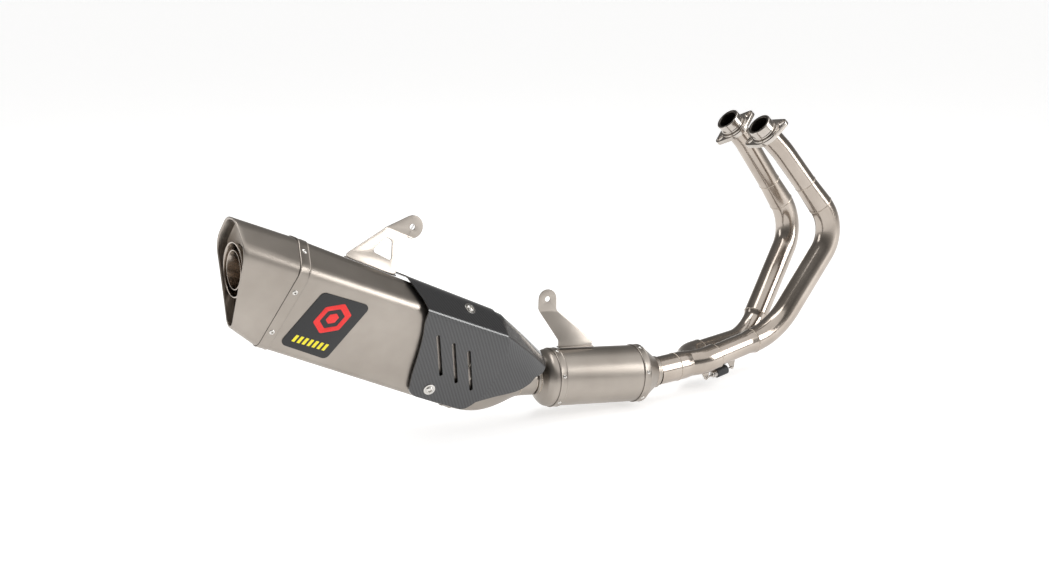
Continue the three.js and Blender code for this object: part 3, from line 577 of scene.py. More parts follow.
def build_header(h):
    side = h["name"]
    body, flange_body = side + "_header", side + "_flange"
    port = frame_at(h["port"], PORT_AXIS)
    collar = fillet(
        [(15.5, 0), (20, 0), (20, 12.6), (21, 13.5), (21, 16.5), (15.5, 16.5)], [0.8, 1.1, 0.5, 0.5, 0.6, 0.3]
    )
    solid(
        side + "_port_collar_ring", lathe(collar), port, MACHINED, body, [side + "_port_collar"], "stainless"
    )
    # The port rim and the liner of the bore are near-black: painted shade inside the port.
    rim = fillet(
        [(15.2, 0.6), (15.8, -0.0), (18.0, -0.0), (18.0, 0.4), (16.2, 0.6), (16.2, 9), (15.2, 9)], 0.15, 2
    )
    solid(side + "_port_rim", lathe(rim), port, PORT_PAINTED_SHADE, body, slot="stainless")

    base = COLLAR_LENGTH + GAP
    blank = flat_sheet(
        outline_flange(), [circle(0, 0, 19.6, 64), *[slot_outline(x, 0, 4.2, 1.8) for x in (-30, 30)]],
        base + 2, 7, 0.6
    )
    turned_port = port @ Matrix.Rotation(h["turn"], 4, "Z")
    finished(
        side + "_flange_plate", blank, turned_port, MACHINED, flange_body, [side + "_header_flange"],
        "stainless"
    )
    lip = fillet([(19.6, base), (23.5, base), (24.5, base + 2.4), (19.6, base + 2.4)], 0.5, 3)
    solid(side + "_flange_lip", lathe(lip), turned_port, MACHINED, flange_body, slot="stainless")

    upper, front, lower = h["corners"]
    start = along(h["port"], upper, COLLAR_LENGTH + 3 * GAP)
    second = along(front, upper, h["weld_to_corner"])
    first = along(second, upper, STEP_LENGTH)
    run = Vector(front) - Vector(upper)
    primary = bent_path([start, upper, first], h["radii"][:1])
    solid(
        side + "_primary_tube", tube(primary, PRIMARY_R), WORLD, STAINLESS, body, [side + "_header_primary"],
        "stainless"
    )
    step = frame_at(first, run)
    taper = fillet(
        [(PRIMARY_R, 0), (PRIMARY_R, 3), (MAIN_R, STEP_LENGTH - 5), (MAIN_R, STEP_LENGTH)], 20, 5,
        closed=False
    )
    solid(
        side + "_step_tube", lathe(wall_profile(taper, WALL), 64), step, STAINLESS, body,
        [side + "_header_step"], "stainless"
    )

    end = along(h["mouth"], lower, -TAIL_ENGAGED)
    after = h["tail_after_bend"]
    split = along(lower, end if after else front, h["tail_offset"])
    main = bent_path(
        [second, front, lower, split], h["radii"][1:]
    ) if after else bent_path([second, front, split], h["radii"][1:2])
    tail = bent_path([split, end], []) if after else bent_path([split, lower, end], h["radii"][2:])
    solid(
        side + "_main_tube", tube(main, MAIN_R), WORLD, STAINLESS, body, [side + "_header_main"], "stainless"
    )

    def neck(t):
        """The tail starts at the main tube's size and is necked down within its first few millimetres."""
        length = sum((b - a).length for a, b in zip(tail, tail[1:]))
        return TAIL_R + (MAIN_R - TAIL_R) * max(0.0, 1 - t * length / 14)

    if after:
        tail = [tail[0].lerp(tail[-1], i / 40) for i in range(41)]
    solid(side + "_tail_tube", tube(tail, neck), WORLD, STAINLESS, body, [side + "_header_tail"], "stainless")
    beads = [
        weld(start + Vector(PORT_AXIS) * 0.2, PORT_AXIS, PRIMARY_R, 0.8),
        weld(first, run, PRIMARY_R),
        weld(second, run, MAIN_R),
        weld(split, tail[1] - tail[0], MAIN_R),
    ]
    solid(side + "_header_welds", merged(beads), WORLD, WELD, body, slot="stainless")


for header in HEADERS:
    build_header(header)

# ---------------------------------------------------------------- collector, link pipe and springs
OUTLET_CENTRE = Vector((-175, -89, -366))
LINK_END = on_resonator(CONE_START)


def build_collector():
    before = along(OUTLET_CENTRE, LINK_END, -26)
    parts, beads = [], []
    for h in HEADERS:
        mouth = Vector(h["mouth"])
        turn = along(mouth, h["corners"][2], -TAIL_ENGAGED - 6)
        path = bent_path([mouth, turn, before], [60 if h["tail_after_bend"] else 40], 2.0)
        parts.append(tube(path, 20.2, 1.7))
        lip = (mouth - Vector(h["corners"][2])).normalized()
        beads.append(weld(mouth + lip * 1.0, lip, 20.2, 0.5, 2.4))
    flow = (LINK_END - OUTLET_CENTRE).normalized()
    swell = [before - flow * 14, before - flow * 4, before + flow * 6, OUTLET_CENTRE]
    parts.append(
        tube([swell[0].lerp(swell[-1], i / 20) for i in range(21)], lambda t: 19.6 + 2.4 * min(1.0, t * 1.6))
    )
    solid("collector_body", merged(parts), WORLD, STAINLESS, "system", ["collector"], "stainless")
    beads.append(weld(OUTLET_CENTRE, flow, OUTLET_R))
    solid("collector_welds", merged(beads), WORLD, WELD, "system", slot="stainless")
    link = bent_path([OUTLET_CENTRE, LINK_END], [])
    link[-1] = link[-1] - flow * 1.5
    solid("link_tube", tube(link, OUTLET_R), WORLD, STAINLESS, "system", ["link_pipe"], "stainless")
    seam = [weld(LINK_END - flow * 1.2, RESONATOR_AXIS, OUTLET_R + 0.6, 0.8, 2.4)]
    solid("link_weld", merged(seam), WORLD, WELD, "system", slot="stainless")


build_collector()


def lug_outline(z, pipe_r):
    """A spring lug in (z, y), with its eye."""
    top = -pipe_r - 0.2
    arc = [
        (z + 4 * math.cos(a), -SPRING_DROP + 4 * math.sin(a))
        for a in (math.pi + math.pi * i / 14 for i in range(15))
    ]
    return [(z - 8, top), *arc, (z + 8, top)]


def spring_path():
    """The wire of a tension spring along z: an open hook, close coils and an open hook."""
    hook_r, coil_r, wraps, per = 3.4, 4.6, 13, 24
    start, end = -SPRING_FRONT, SPRING_REAR
    lead = 3 * hook_r

    def hook(eye, inwards):
        return [
            Vector((hook_r * math.sin(a), 0, eye + inwards * hook_r * (1 + math.cos(a))))
            for a in (math.radians(250 - 12.5 * i) for i in range(21))
        ]

    coil = []
    for i in range(wraps * per + 1):
        angle = TAU * i / per
        grow = min(1.0, i / per, (wraps * per - i) / per)
        ease = grow * grow * (3 - 2 * grow)
        z = start + lead + (end - start - 2 * lead) * i / (wraps * per)
        coil.append(Vector((coil_r * ease * math.sin(angle), coil_r * ease * math.cos(angle), z)))
    return [*hook(start, 1), *coil, *reversed(hook(end, -1))]


def to_side(mesh):
    """Turns a blank drawn in (z, y) upright: its x becomes the frame's z and its thickness the frame's x."""
    mesh.transform(Matrix(((0, 0, -1, 0), (0, 1, 0, 0), (1, 0, 0, 0), (0, 0, 0, 1))))
    return mesh


def build_springs():
    for h in HEADERS:
        side = h["name"]
        socket = frame_at(h["mouth"], Vector(h["mouth"]) - Vector(h["corners"][2]))
        lugs = ((side + "_header", -SPRING_FRONT, TAIL_R, side + "_header", side + "_header_spring_lug"),
                (side + "_collector", SPRING_REAR, 20.2, "system", side + "_collector_spring_lug"))
        for label, z, pipe_r, body, node in lugs:
            eye = circle(z, -SPRING_DROP, 2.1, 20)
            blank = to_side(flat_sheet(lug_outline(z, pipe_r), [eye], -1, 2, 0.3))
            finished(label + "_lug_plate", blank, socket, SHEET, body, [node], "stainless")
        drop = Matrix.Translation((0, -SPRING_DROP * MM, 0))
        wire = mesh_of("spring", *rod(spring_path(), 1.05, 10))
        coil = finished(side + "_spring_wire", wire, socket @ drop, SPRING, None, sharp=60)
        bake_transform(coil)
        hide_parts(side + "_collector_spring")
        ends = [(6.1, -19), (7.7, -19), (7.7, 3), (6.1, 3)]
        sleeve = mesh_of("damper", *lathe(fillet(ends, 0.7, 4), 40))
        cover = finished(side + "_spring_sleeve", sleeve, socket @ drop, RUBBER, None)
        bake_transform(cover)
        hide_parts(side + "_spring_damper")


build_springs()


# ---------------------------------------------------------------- resonator
def rivet(radius=3.6, height=1.5, hole=1.15):
    """A pop rivet: a domed head with the hole its mandrel leaves."""
    dome = [(radius * math.cos(a), height * math.sin(a)) for a in (math.pi / 2 * i / 6 for i in range(5))]
    return lathe(
        [
            (radius, -0.4), *dome, (hole + 0.3, height), (hole, height - 0.35), (hole, -0.2), (0.01, -0.2),
            (0.01, -0.4)
        ],
        28
    )


def placed_parts(parts, matrices):
    """Copies of (points, faces) at each matrix, whose lengths are in millimetres."""
    return merged([([m @ Vector(p) for p in parts[0]], parts[1]) for m in matrices])


def axis_frame(origin, out, up):
    """A millimetre frame whose +Z points out of a surface."""
    z = Vector(out).normalized()
    x = Vector(up).cross(z).normalized()
    made = Matrix((x, z.cross(x), z)).transposed().to_4x4()
    made.translation = Vector(origin)
    return made


def turned_piece(
    name, profile, material, nodes, slot, body="system", placed=RESONATOR, segments=128, sharp=32
):
    return finished(
        name, mesh_of(name, *lathe(profile, segments)), placed, material, body, nodes, slot, sharp
    )


def build_resonator():
    cone = [
        (BEAD_R, CONE_START), (BEAD_R, CONE_START + 5), (BEAD_R + 1.2, CONE_START + 6.5),
        (SHELL_R - 3, -SHELL_HALF - 4.5), (SHELL_R, -SHELL_HALF - GAP)
    ]
    cone = fillet(cone, [0, 1.5, 2.5, 9, 0], 6, closed=False)
    turned_piece(
        "resonator_cone", wall_profile(cone, WALL), TITANIUM_TURNED, ["resonator_front_cone"], "titanium"
    )
    shell = [
        (SHELL_R, -SHELL_HALF), (SHELL_R, SHELL_HALF), (SHELL_R - WALL, SHELL_HALF),
        (SHELL_R - WALL, -SHELL_HALF)
    ]
    turned_piece("resonator_tube", shell, TITANIUM, ["resonator_shell"], "titanium", segments=160)
    far = SHELL_HALF + CAP_LENGTH
    dome = [
        (SHELL_R, SHELL_HALF + GAP), (SHELL_R - 0.6, SHELL_HALF + 8), (SHELL_R - 8, SHELL_HALF + 15.5),
        (BEAD_R + 0.8, far - 1), (BEAD_R, far + 0.5), (BEAD_R, far + 5)
    ]
    dome = fillet(dome, [0, 14, 12, 3, 1.5, 0], 7, closed=False)
    turned_piece(
        "resonator_dome", wall_profile(dome, WALL), TITANIUM_TURNED, ["resonator_rear_cap"], "titanium",
        sharp=50
    )
    for label, z in (("front", -SHELL_HALF), ("rear", SHELL_HALF - 12)):
        low, high = SHELL_R + GAP, SHELL_R + 1.1
        edge = [
            (low, z), (high, z), (high + 0.4, z + 0.9), (high, z + 1.9), (high, z + 10.1),
            (high + 0.4, z + 11.1), (high, z + 12), (low, z + 12)
        ]
        turned_piece(
            "resonator_" + label + "_strap", fillet(edge, 0.35, 2), TITANIUM,
            ["resonator_" + label + "_band"], "titanium"
        )
        spots = []
        for k in range(6):
            angle = math.radians(16 + 60 * k)
            out = (math.cos(angle), math.sin(angle), 0)
            spots.append(axis_frame((high * out[0], high * out[1], z + 6), out, (0, 0, 1)))
        solid(
            "resonator_" + label + "_rivets", placed_parts(rivet(3.0, 1.3, 0.95), spots), RESONATOR, BRIGHT,
            "system", slot="fastener"
        )
    bead = [
        weld((0, 0, CONE_START + 5.2), (0, 0, 1), BEAD_R + 0.1, 0.8),
        weld((0, 0, far + 0.2), (0, 0, 1), BEAD_R + 0.1, 0.9, 2.4),
    ]
    solid("resonator_welds", merged(bead), RESONATOR, WELD, "system", slot="titanium")
    spigot = fillet([(22.3, SHELL_HALF), (22.3, 128), (20.8, 128), (20.8, SHELL_HALF)], 0.4, 2)
    turned_piece("resonator_outlet_tube", spigot, STAINLESS, ["resonator_outlet_spigot"], "stainless")


build_resonator()


def bent_bracket(name, outline, holes, bend_at, lean, base, body, placed, node, foot):
    """A sheet bracket, drawn flat in (z, height): its web leans inboard up to the bend, then stands up."""
    mesh = to_side(flat_sheet(outline, holes, -1, 2, 0.3))
    work = bmesh.new()
    work.from_mesh(mesh)
    for offset in (-3, -1.5, 0, 1.5, 3):
        everything = [*work.verts, *work.edges, *work.faces]
        bmesh.ops.bisect_plane(
            work, geom=everything, plane_co=(0, (bend_at + offset) * MM, 0), plane_no=(0, 1, 0), dist=1e-7
        )
    top = Vector((base[0] - bend_at * math.sin(lean), base[1] + bend_at * math.cos(lean)))
    spread_mm = 3.0
    for v in work.verts:
        s, t = v.co.y / MM, v.co.x / MM
        part = min(max((s - bend_at + spread_mm) / (2 * spread_mm), 0.0), 1.0)
        angle = lean * (1 - part)
        if s <= bend_at:
            x, y = base[0] - s * math.sin(lean), base[1] + s * math.cos(lean)
        else:
            x, y = top.x, top.y + (s - bend_at)
        v.co.x = (x + t * math.cos(angle)) * MM
        v.co.y = (y + t * math.sin(angle)) * MM
    work.to_mesh(mesh)
    work.free()
    piece = finished(name, mesh, placed, SHEET, body, [node], "bracket_sheet", 28)
    width, z0, z1, tilt = foot
    edge = fillet([(-width / 2, z0), (width / 2, z0), (width / 2, z1), (-width / 2, z1)], 3.5, 5)
    plate = flat_sheet(edge, [], -0.8, 1.6, 0.3)
    plate.transform(Matrix(((1, 0, 0, 0), (0, 0, 1, 0), (0, 1, 0, 0), (0, 0, 0, 1))))
    plate.transform(Matrix.Translation((base[0] * MM, base[1] * MM, 0)) @ Matrix.Rotation(tilt, 4, "Z"))
    plate.flip_normals()
    finished(name + "_foot", plate, placed, SHEET, body, slot="bracket_sheet")
    return piece


def ear_outline(web, ear, ear_r, steps=28):
    """The web's outline going up one side, round the ear and down the other."""
    (left, right), (cz, cs) = web, ear

    def tangent(point, side):
        d = Vector((cz, cs)) - Vector(point)
        spread_angle = math.asin(min(1.0, ear_r / d.length))
        base_angle = math.atan2(d.y, d.x) + side * spread_angle
        return base_angle + side * math.pi / 2

    a0, a1 = tangent(right[-1], -1), tangent(left[-1], 1)
    while a1 < a0:
        a1 += TAU
    arc = [
        (cz + ear_r * math.cos(a0 + (a1 - a0) * i / steps), cs + ear_r * math.sin(a0 + (a1 - a0) * i / steps))
        for i in range(steps + 1)
    ]
    return [*right, *arc, *reversed(left)]


def build_brackets():
    lean = math.radians(13)
    base = (-4, SHELL_R + GAP + 1.6)
    top_y = base[1] + 54 * math.cos(lean)
    ear = (80, 54 + 116 - top_y)
    outline = ear_outline(
        ([(5, 0.4), (4.6, 7), (11.4, 14), (61.5, 54), (64, 57)], [(62, 0.4), (61.4, 10), (92, 54), (94, 58)]),
        ear, 14.6
    )
    bent_bracket(
        "resonator_hanger", outline, [circle(*ear, EAR_HOLE_R, 40)], 54, lean, base, "system", RESONATOR,
        "resonator_bracket", (13, 4, 63, lean * 0.4)
    )
    lean = math.radians(22.87)
    base = (-11, 1.35)
    top_y = base[1] + 63 * math.cos(lean)
    ear = (137.2, 63 + 73.4 - top_y)
    outline = ear_outline(
        ([(150, 0.4), (139.5, 61)], [(230, 0.4), (230, 5), (226, 10), (176, 63)]), ear, 16.5
    )
    window = fillet([(193, 21), (159, 18), (163, 48), (174, 49)], [4, 4, 5, 5], 5)
    foot = (14, 150, 231, math.radians(4))
    # The muffler's flat top falls a little towards the front, and the bracket stands on it
    front_y, rear_y = FRONT_SECTION[2][1], SECTION[2][1]
    fall = Matrix.Rotation(-math.atan((rear_y - front_y) / SLEEVE_LENGTH), 4, "X")
    deck = MUFFLER @ Matrix.Translation((0, front_y * MM, 0)) @ fall
    bent_bracket(
        "muffler_hanger", outline, [circle(*ear, EAR_HOLE_R, 40), window], 63, lean, base, "muffler", deck,
        "muffler_bracket", foot
    )


build_brackets()


# ---------------------------------------------------------------- muffler sections
def section_at(z):
    """The sleeve's corners at a distance along it, on straight lines through its two ends."""
    t = z / SLEEVE_LENGTH
    return [
        tuple(a + (b - a) * t for a, b in zip(front, rear)) for front, rear in zip(FRONT_SECTION, SECTION)
    ]


def section(distance, half=SECTION, radii=ROUNDING, steps=14, flats=10):
    """Points and outward normals of the muffler's outline moved outwards, with points along its flats."""
    corners = [*half, *[(-x, y) for x, y in reversed(half)]]
    rounding = [*radii, *reversed(radii)]
    arcs = []
    count = len(corners)
    for i, corner in enumerate(corners):
        c = Vector(corner)
        a = (Vector(corners[i - 1]) - c).normalized()
        b = (Vector(corners[(i + 1) % count]) - c).normalized()
        half_angle = a.angle(b) / 2
        r = rounding[i]
        centre = c + (a + b).normalized() * (r / math.sin(half_angle))
        start = c + a * (r / math.tan(half_angle)) - centre
        turn = math.pi - 2 * half_angle
        arcs.append(
            [
                (centre, (Matrix.Rotation(turn * k / steps, 2) @ start).normalized(), r)
                for k in range(steps + 1)
            ]
        )
    points, normals = [], []
    for i, arc in enumerate(arcs):
        for centre, out, r in arc:
            points.append(centre + out * (r + distance))
            normals.append(out)
        after = arcs[(i + 1) % count][0]
        first, last = points[-1], after[0] + after[1] * (after[2] + distance)
        for k in range(1, flats):
            points.append(first.lerp(last, k / flats))
            normals.append(normals[len(points) - 1 - 1])
    return points, normals


def ring3(points, z):
    return [Vector((p.x, p.y, z)) for p in points]


def swept_band(profile, nodes, name):
    """A strap round the muffler from a closed (distance, z) profile."""
    rows = [ring3(section(d, section_at(z))[0], z) for d, z in profile]
    return finished(name, mesh_of(name, *grid(rows)), MUFFLER, TITANIUM, "muffler", nodes, "titanium", 40)


def rivet_spots(z, distance):
    """Where a strap's rivets sit: two on each flank and one on each roof."""
    spots = []
    flank = (Vector(SECTION[1]) - Vector(SECTION[0])).normalized()
    roof = (Vector(SECTION[2]) - Vector(SECTION[1])).normalized()
    for mirror in (1, -1):
        _, shoulder, crown = section_at(z)
        for y, up in ((3, flank), (-56, flank), (shoulder[1] * 0.34 + crown[1] * 0.66, roof)):
            foot = Vector(shoulder) + up * ((y - shoulder[1]) / up.y)
            out = Vector((up.y, -up.x))
            at = foot + out * distance
            spots.append(axis_frame((mirror * at.x, at.y, z), (mirror * out.x, out.y, 0), (0, 0, 1)))
    return spots


def build_muffler():
    rows = [
        ring3(section(d, section_at(z))[0], z)
        for d, z in (
            (0, 0), (0, 100), (0, 200), (0, SLEEVE_LENGTH - GAP), (-WALL, SLEEVE_LENGTH - GAP), (-WALL, 0)
        )
    ]
    solid("muffler_body", grid(rows), MUFFLER, TITANIUM, "muffler", ["muffler_sleeve"], "titanium", 40)
    for label, z in (("front", 0), ("rear", SLEEVE_LENGTH - BAND)):
        edge = [
            (GAP, z), (1.0, z), (1.45, z + 1), (1.0, z + 2.2), (1.0, z + 13.5), (1.45, z + 14.7),
            (1.0, z + 15.7), (GAP, z + 15.7)
        ]
        swept_band(fillet(edge, 0.3, 2), ["muffler_" + label + "_band"], "muffler_" + label + "_strap")
        mesh = mesh_of("rivets", *placed_parts(rivet(3.9, 1.5, 1.25), rivet_spots(z + 8, 1.0)))
        finished("muffler_" + label + "_rivets", mesh, MUFFLER, BRIGHT, "muffler", slot="fastener")


build_muffler()


def slash_z(y, offset=0.0):
    return SLASH_CENTRE + offset + SLASH_SLOPE * y


def cap_line(distance, lip=0.0):
    """For each point of the outline, the outlet cap's wall from the seam to the slash plane moved by lip."""
    lines = []
    for p, q in zip(section(distance)[0], section(distance, OUTLET_SECTION, OUTLET_ROUNDING)[0]):
        a, b = Vector((p.x, p.y, SLEEVE_LENGTH)), Vector((q.x, q.y, OUTLET_Z))
        d = b - a
        t = (slash_z(a.y, lip) - a.z) / (d.z - SLASH_SLOPE * d.y)
        lines.append((a, a + d * t))
    return lines


EDGE_ROLL = 1.7  # radius of the outlet cap's rolled edge


def build_outlet():
    outer = cap_line(0)
    rows = [[a.lerp(b, s / 12) for a, b in outer] for s in range(12)]
    for turn in range(9):
        angle = math.pi * turn / 8
        depth = -EDGE_ROLL * (1 - math.sin(angle))
        inset = -EDGE_ROLL * (1 - math.cos(angle))
        rows.append([b for _, b in cap_line(inset, depth)])
    inner = cap_line(-3.4, -14)
    rows.append([b for _, b in inner])
    thin = cap_line(-WALL, -22)
    rows.append([b for _, b in thin])
    rows.append([a for a, _ in cap_line(-WALL)])
    solid("muffler_end_cap", grid(rows), MUFFLER, TITANIUM, "muffler", ["muffler_outlet_cap"], "titanium", 50)

    centre = Vector((0, CORE_Y))

    def blend_row(share, offset):
        """Between the cap's inner wall and a round hole, on a plane parallel to the slash."""
        edge = [b for _, b in cap_line(-WALL - 0.5, offset)]
        row = []
        for p in edge:
            d = Vector((p.x, p.y)) - centre
            hole = centre + d.normalized() * (RING_R + 0.4)
            q = Vector((p.x, p.y)).lerp(hole, share)
            row.append(Vector((q.x, q.y, slash_z(q.y, offset))))
        return row

    front = [
        blend_row(s, o)
        for s, o in ((0, -13.2), (0.06, -14.2), (0.4, -14.8), (0.8, -14.8), (0.93, -14.0), (1, -12.5))
    ]
    back = [[p - Vector((0, 0, 1.2)) for p in row] for row in reversed(front)]
    solid(
        "muffler_end_plate", grid([*front, *back]), MUFFLER, TITANIUM, "muffler", ["muffler_outlet_plate"],
        "titanium", 50
    )

    def slashed_tube(outer_r, inner_r, back_z, offset, rim=0):
        """A tube on the core's axis, with a rounded mouth parallel to the slash and thickened by rim."""
        ring = [(math.cos(TAU * k / 96), math.sin(TAU * k / 96)) for k in range(96)]

        def square_row(r):
            return [Vector((r * c, CORE_Y + r * s, back_z)) for c, s in ring]

        def slanted_row(r, lip):
            return [Vector((r * c, CORE_Y + r * s, slash_z(CORE_Y + r * s, lip))) for c, s in ring]

        middle = (outer_r + inner_r) / 2 + rim / 2
        half = (outer_r - inner_r) / 2 + rim / 2
        made = [square_row(outer_r)]
        if rim:
            made.append(slanted_row(outer_r, offset - 4 * rim))
        for k in range(7):
            angle = math.pi * k / 6
            made.append(slanted_row(middle + half * math.cos(angle), offset - half + half * math.sin(angle)))
        return grid([*made, square_row(inner_r)])

    solid(
        "muffler_tip_ring", slashed_tube(RING_R, RING_R - 1.6, 352, -4, 0.9), MUFFLER, STAINLESS, "muffler",
        ["muffler_outlet_ring"], "stainless", 50
    )
    core = slashed_tube(CORE_R, CORE_R - WALL, 4, -5)
    solid("muffler_inner_tube", core, MUFFLER, STAINLESS, "muffler", ["muffler_core"], "stainless")
    dish_r = RING_R - 2.2
    profile = [(CORE_R + GAP, 350), (dish_r, 353), (dish_r, 354.4), (CORE_R + GAP, 351.5)]
    dish = mesh_of("dish", *lathe(fillet(profile, 0.4, 2), 96))
    dish.transform(Matrix.Translation((0, CORE_Y * MM, 0)))
    # The dish is near-black: painted shade deep inside the outlet.
    finished("muffler_tip_dish", dish, MUFFLER, DISH_PAINTED_SHADE, "muffler", ["muffler_outlet_dish"], "titanium")


build_outlet()


def funnel_rows(distance, r, from_z, to_z, radii, steps, swell=0.16):
    """Rows from the muffler's outline to a round mouth on the resonator's axis."""
    first = section(distance, section_at(from_z), radii)[0]
    last = []
    for p in first:
        angle = math.atan2(p.y + 10, p.x)
        last.append(in_muffler((r * math.cos(angle), r * math.sin(angle), to_z)))
    rows = []
    for i in range(steps + 1):
        t = i / steps
        bulge = swell * math.sin(math.pi * t)
        rows.append(
            [
                Vector((p.x, p.y, from_z)).lerp(q, t) + Vector((p.x, p.y + 10, 0)) * bulge
                for p, q in zip(first, last)
            ]
        )
    return rows


def build_inlet():
    outside = funnel_rows(0, INLET_R, -GAP, INLET_END, ROUNDING, 20)
    inside = funnel_rows(-WALL, INLET_R - WALL, -GAP, INLET_END, ROUNDING, 20)
    solid(
        "muffler_front_cone", grid([*outside, *reversed(inside)]), MUFFLER, TITANIUM, "muffler",
        ["muffler_inlet_cap"], "titanium", 50
    )
    mouth = fillet([(INLET_R, 107), (INLET_R, 131), (INLET_R - WALL, 131), (INLET_R - WALL, 107)], 0.5, 3)
    turned_piece("muffler_socket", mouth, TITANIUM_TURNED, ["muffler_inlet_tube"], "titanium", "muffler")
    bead = [weld((0, 0, 131.2), (0, 0, 1), INLET_R, 0.8)]
    solid("muffler_socket_weld", merged(bead), RESONATOR, WELD, "muffler", slot="titanium")


build_inlet()


# ---------------------------------------------------------------- label
FLANK_UP = (Vector(SECTION[1]) - Vector(SECTION[0])).normalized()
ROOF_UP = (Vector(SECTION[2]) - Vector(SECTION[1])).normalized()


def face_frame(up, y, z):
    """A frame on one of the muffler's faces: +X forwards, +Y up the face, +Z out of it."""
    front, rear = (up.y * x - up.x * y for x, y in (FRONT_SECTION[1], SECTION[1]))
    out = Vector((up.y, -up.x, (front - rear) / SLEEVE_LENGTH)).normalized()
    shoulder = Vector(section_at(z)[1])
    foot = shoulder + up * ((y - shoulder.y) / up.y)
    up3 = Vector((up.x, up.y, 0))
    made = Matrix((up3.cross(out), up3, out)).transposed().to_4x4()
    made.translation = Vector((foot.x, foot.y, z)) * MM
    return MUFFLER @ made


LABEL_Y, LABEL_Z = -27, 248


def build_label():
    place = face_frame(FLANK_UP, LABEL_Y, LABEL_Z)
    corners = [
        (x + LABEL_Z, (y - LABEL_Y) / FLANK_UP.y)
        for x, y in ((-294, -68.5), (-221, -71), (-203, 17), (-276, 15))
    ]
    finished(
        "label_plate", flat_sheet(fillet(corners, 8, 8), [], GAP, 0.5, 0.1), place, LABEL_BLACK, "muffler",
        ["muffler_side_label"], "label"
    )
    lean = (corners[3][0] - corners[0][0]) / (corners[3][1] - corners[0][1])

    def slanted(points, middle=(1.0, 13.0)):
        return [(middle[0] + x + lean * (y + middle[1]), middle[1] + y) for x, y in points]

    def hexagon(r):
        return fillet(
            [
                (r * 0.88 * math.cos(math.radians(60 * k + 90)), r * math.sin(math.radians(60 * k + 90)))
                for k in range(6)
            ],
            r * 0.12, 4
        )

    ring = flat_sheet(slanted(hexagon(26)), [slanted(hexagon(17))], GAP + 0.5, 0.12, 0.03)
    finished("label_ring", ring, place, LABEL_RED, "muffler", slot="label")
    finished(
        "label_dot", flat_sheet(slanted(hexagon(9)), [], GAP + 0.5, 0.12, 0.03), place, LABEL_RED, "muffler",
        slot="label"
    )
    for k in range(7):
        left = -26 + k * 7.6
        bar = slanted(fillet([(left, -49), (left + 4.4, -49), (left + 4.4, -38), (left, -38)], 0.8, 3))
        finished(
            f"label_bar_{k + 1}", flat_sheet(bar, [], GAP + 0.5, 0.12, 0.03), place, LABEL_YELLOW, "muffler",
            slot="label"
        )


build_label()


# ---------------------------------------------------------------- carbon heat shield
def smooth_line(points, per=8):
    """A Catmull-Rom line through points, ends kept."""
    line = []
    for i in range(len(points) - 1):
        p = [Vector(points[max(0, min(len(points) - 1, i + k))]) for k in (-1, 0, 1, 2)]
        for s in range(per):
            t = s / per
            line.append(
                0.5 * (
                    (2 * p[1]) + (p[2] - p[0]) * t + (
                        2 * p[0] - 5 * p[1] + 4 * p[2] - p[3]
                    ) * t * t + (3 * p[1] - p[0] - 3 * p[2] + p[3]) * t ** 3
                )
            )
    line.append(Vector(points[-1]))
    return line


REAR_EDGE = (
    (138, 100), (141, 75), (146, 70), (149, 65), (144, 59), (137, 52), (127, 40), (121, 18), (112, -1),
    (103, -26), (94, -56), (87, -74)
)
CORNER = ((87, -74), (84, -80), (77, -84.5), (68, -86.5))
FRONT_EDGE = (
    (-8, -86.5), (-18, -80), (-29, -59), (-32, -26), (-27, 7), (-11, 37), (-6.5, 50), (3, 60), (8, 100)
)
TIP_EDGE = (
    (-16, -82), (-24, -73), (-47, -57.5), (-75, -38.5), (-88, -22.5), (-94, -9.5),
    (-104, -0.5), (-109, 8), (-112, 16), (-118, 30), (-150, 40), (-150, 100),
)


def prism(name, line, low_x, high_x):
    """A cutter: an outline in (z, y) pushed along x."""
    area = sum(a[0] * b[1] - b[0] * a[1] for a, b in zip(line, [*line[1:], line[0]]))
    loop = list(line) if area > 0 else list(reversed(line))
    count = len(loop)
    points = [(x, p[1], p[0]) for x in (low_x, high_x) for p in loop]
    faces = [tuple(range(count)), tuple(reversed(range(count, 2 * count)))]
    faces += [(i, (i + 1) % count, count + (i + 1) % count, count + i) for i in range(count)]
    mesh = mesh_of(name, points, faces)
    holder = bpy.data.objects.new(name, mesh)
    bpy.context.scene.collection.objects.link(holder)
    holder.matrix_world = MUFFLER
    return holder


def box_cutter(name, low, high):
    mesh = bpy.data.meshes.new(name)
    work = bmesh.new()
    bmesh.ops.create_cube(work, size=1)
    for v in work.verts:
        v.co = Vector([(low[i] + high[i]) / 2 + v.co[i] * (high[i] - low[i]) for i in range(3)]) * MM
    work.to_mesh(mesh)
    work.free()
    holder = bpy.data.objects.new(name, mesh)
    bpy.context.scene.collection.objects.link(holder)
    holder.matrix_world = MUFFLER
    return holder


def shell_with_uv(rows_outer, rows_inner, lengths):
    """A closed wall between two skins, with the weave's UVs running round (u) and along (v) in mm."""
    rows = [*rows_outer, *reversed(rows_inner)]
    points, faces = grid(rows)
    uvs = []
    order = [*range(len(rows_outer)), *reversed(range(len(rows_inner)))]
    for i in order:
        uvs += [(u, lengths[i]) for u in arc_lengths(rows_outer[0])]
    return points, faces, uvs


def arc_lengths(row):
    """Distance round a row from the crown, the same on both sides so that the cloth is centred."""
    count = len(row)
    start = max(range(count), key=lambda k: (row[k].y, -abs(row[k].x)))
    out = [0.0] * count
    total = 0.0
    for step in range(1, count):
        a, b = (start + step - 1) % count, (start + step) % count
        total += (row[b] - row[a]).length
        out[b] = total
    whole = total + (row[start] - row[start - 1]).length
    return [u if u < whole / 2 else u - whole for u in out]


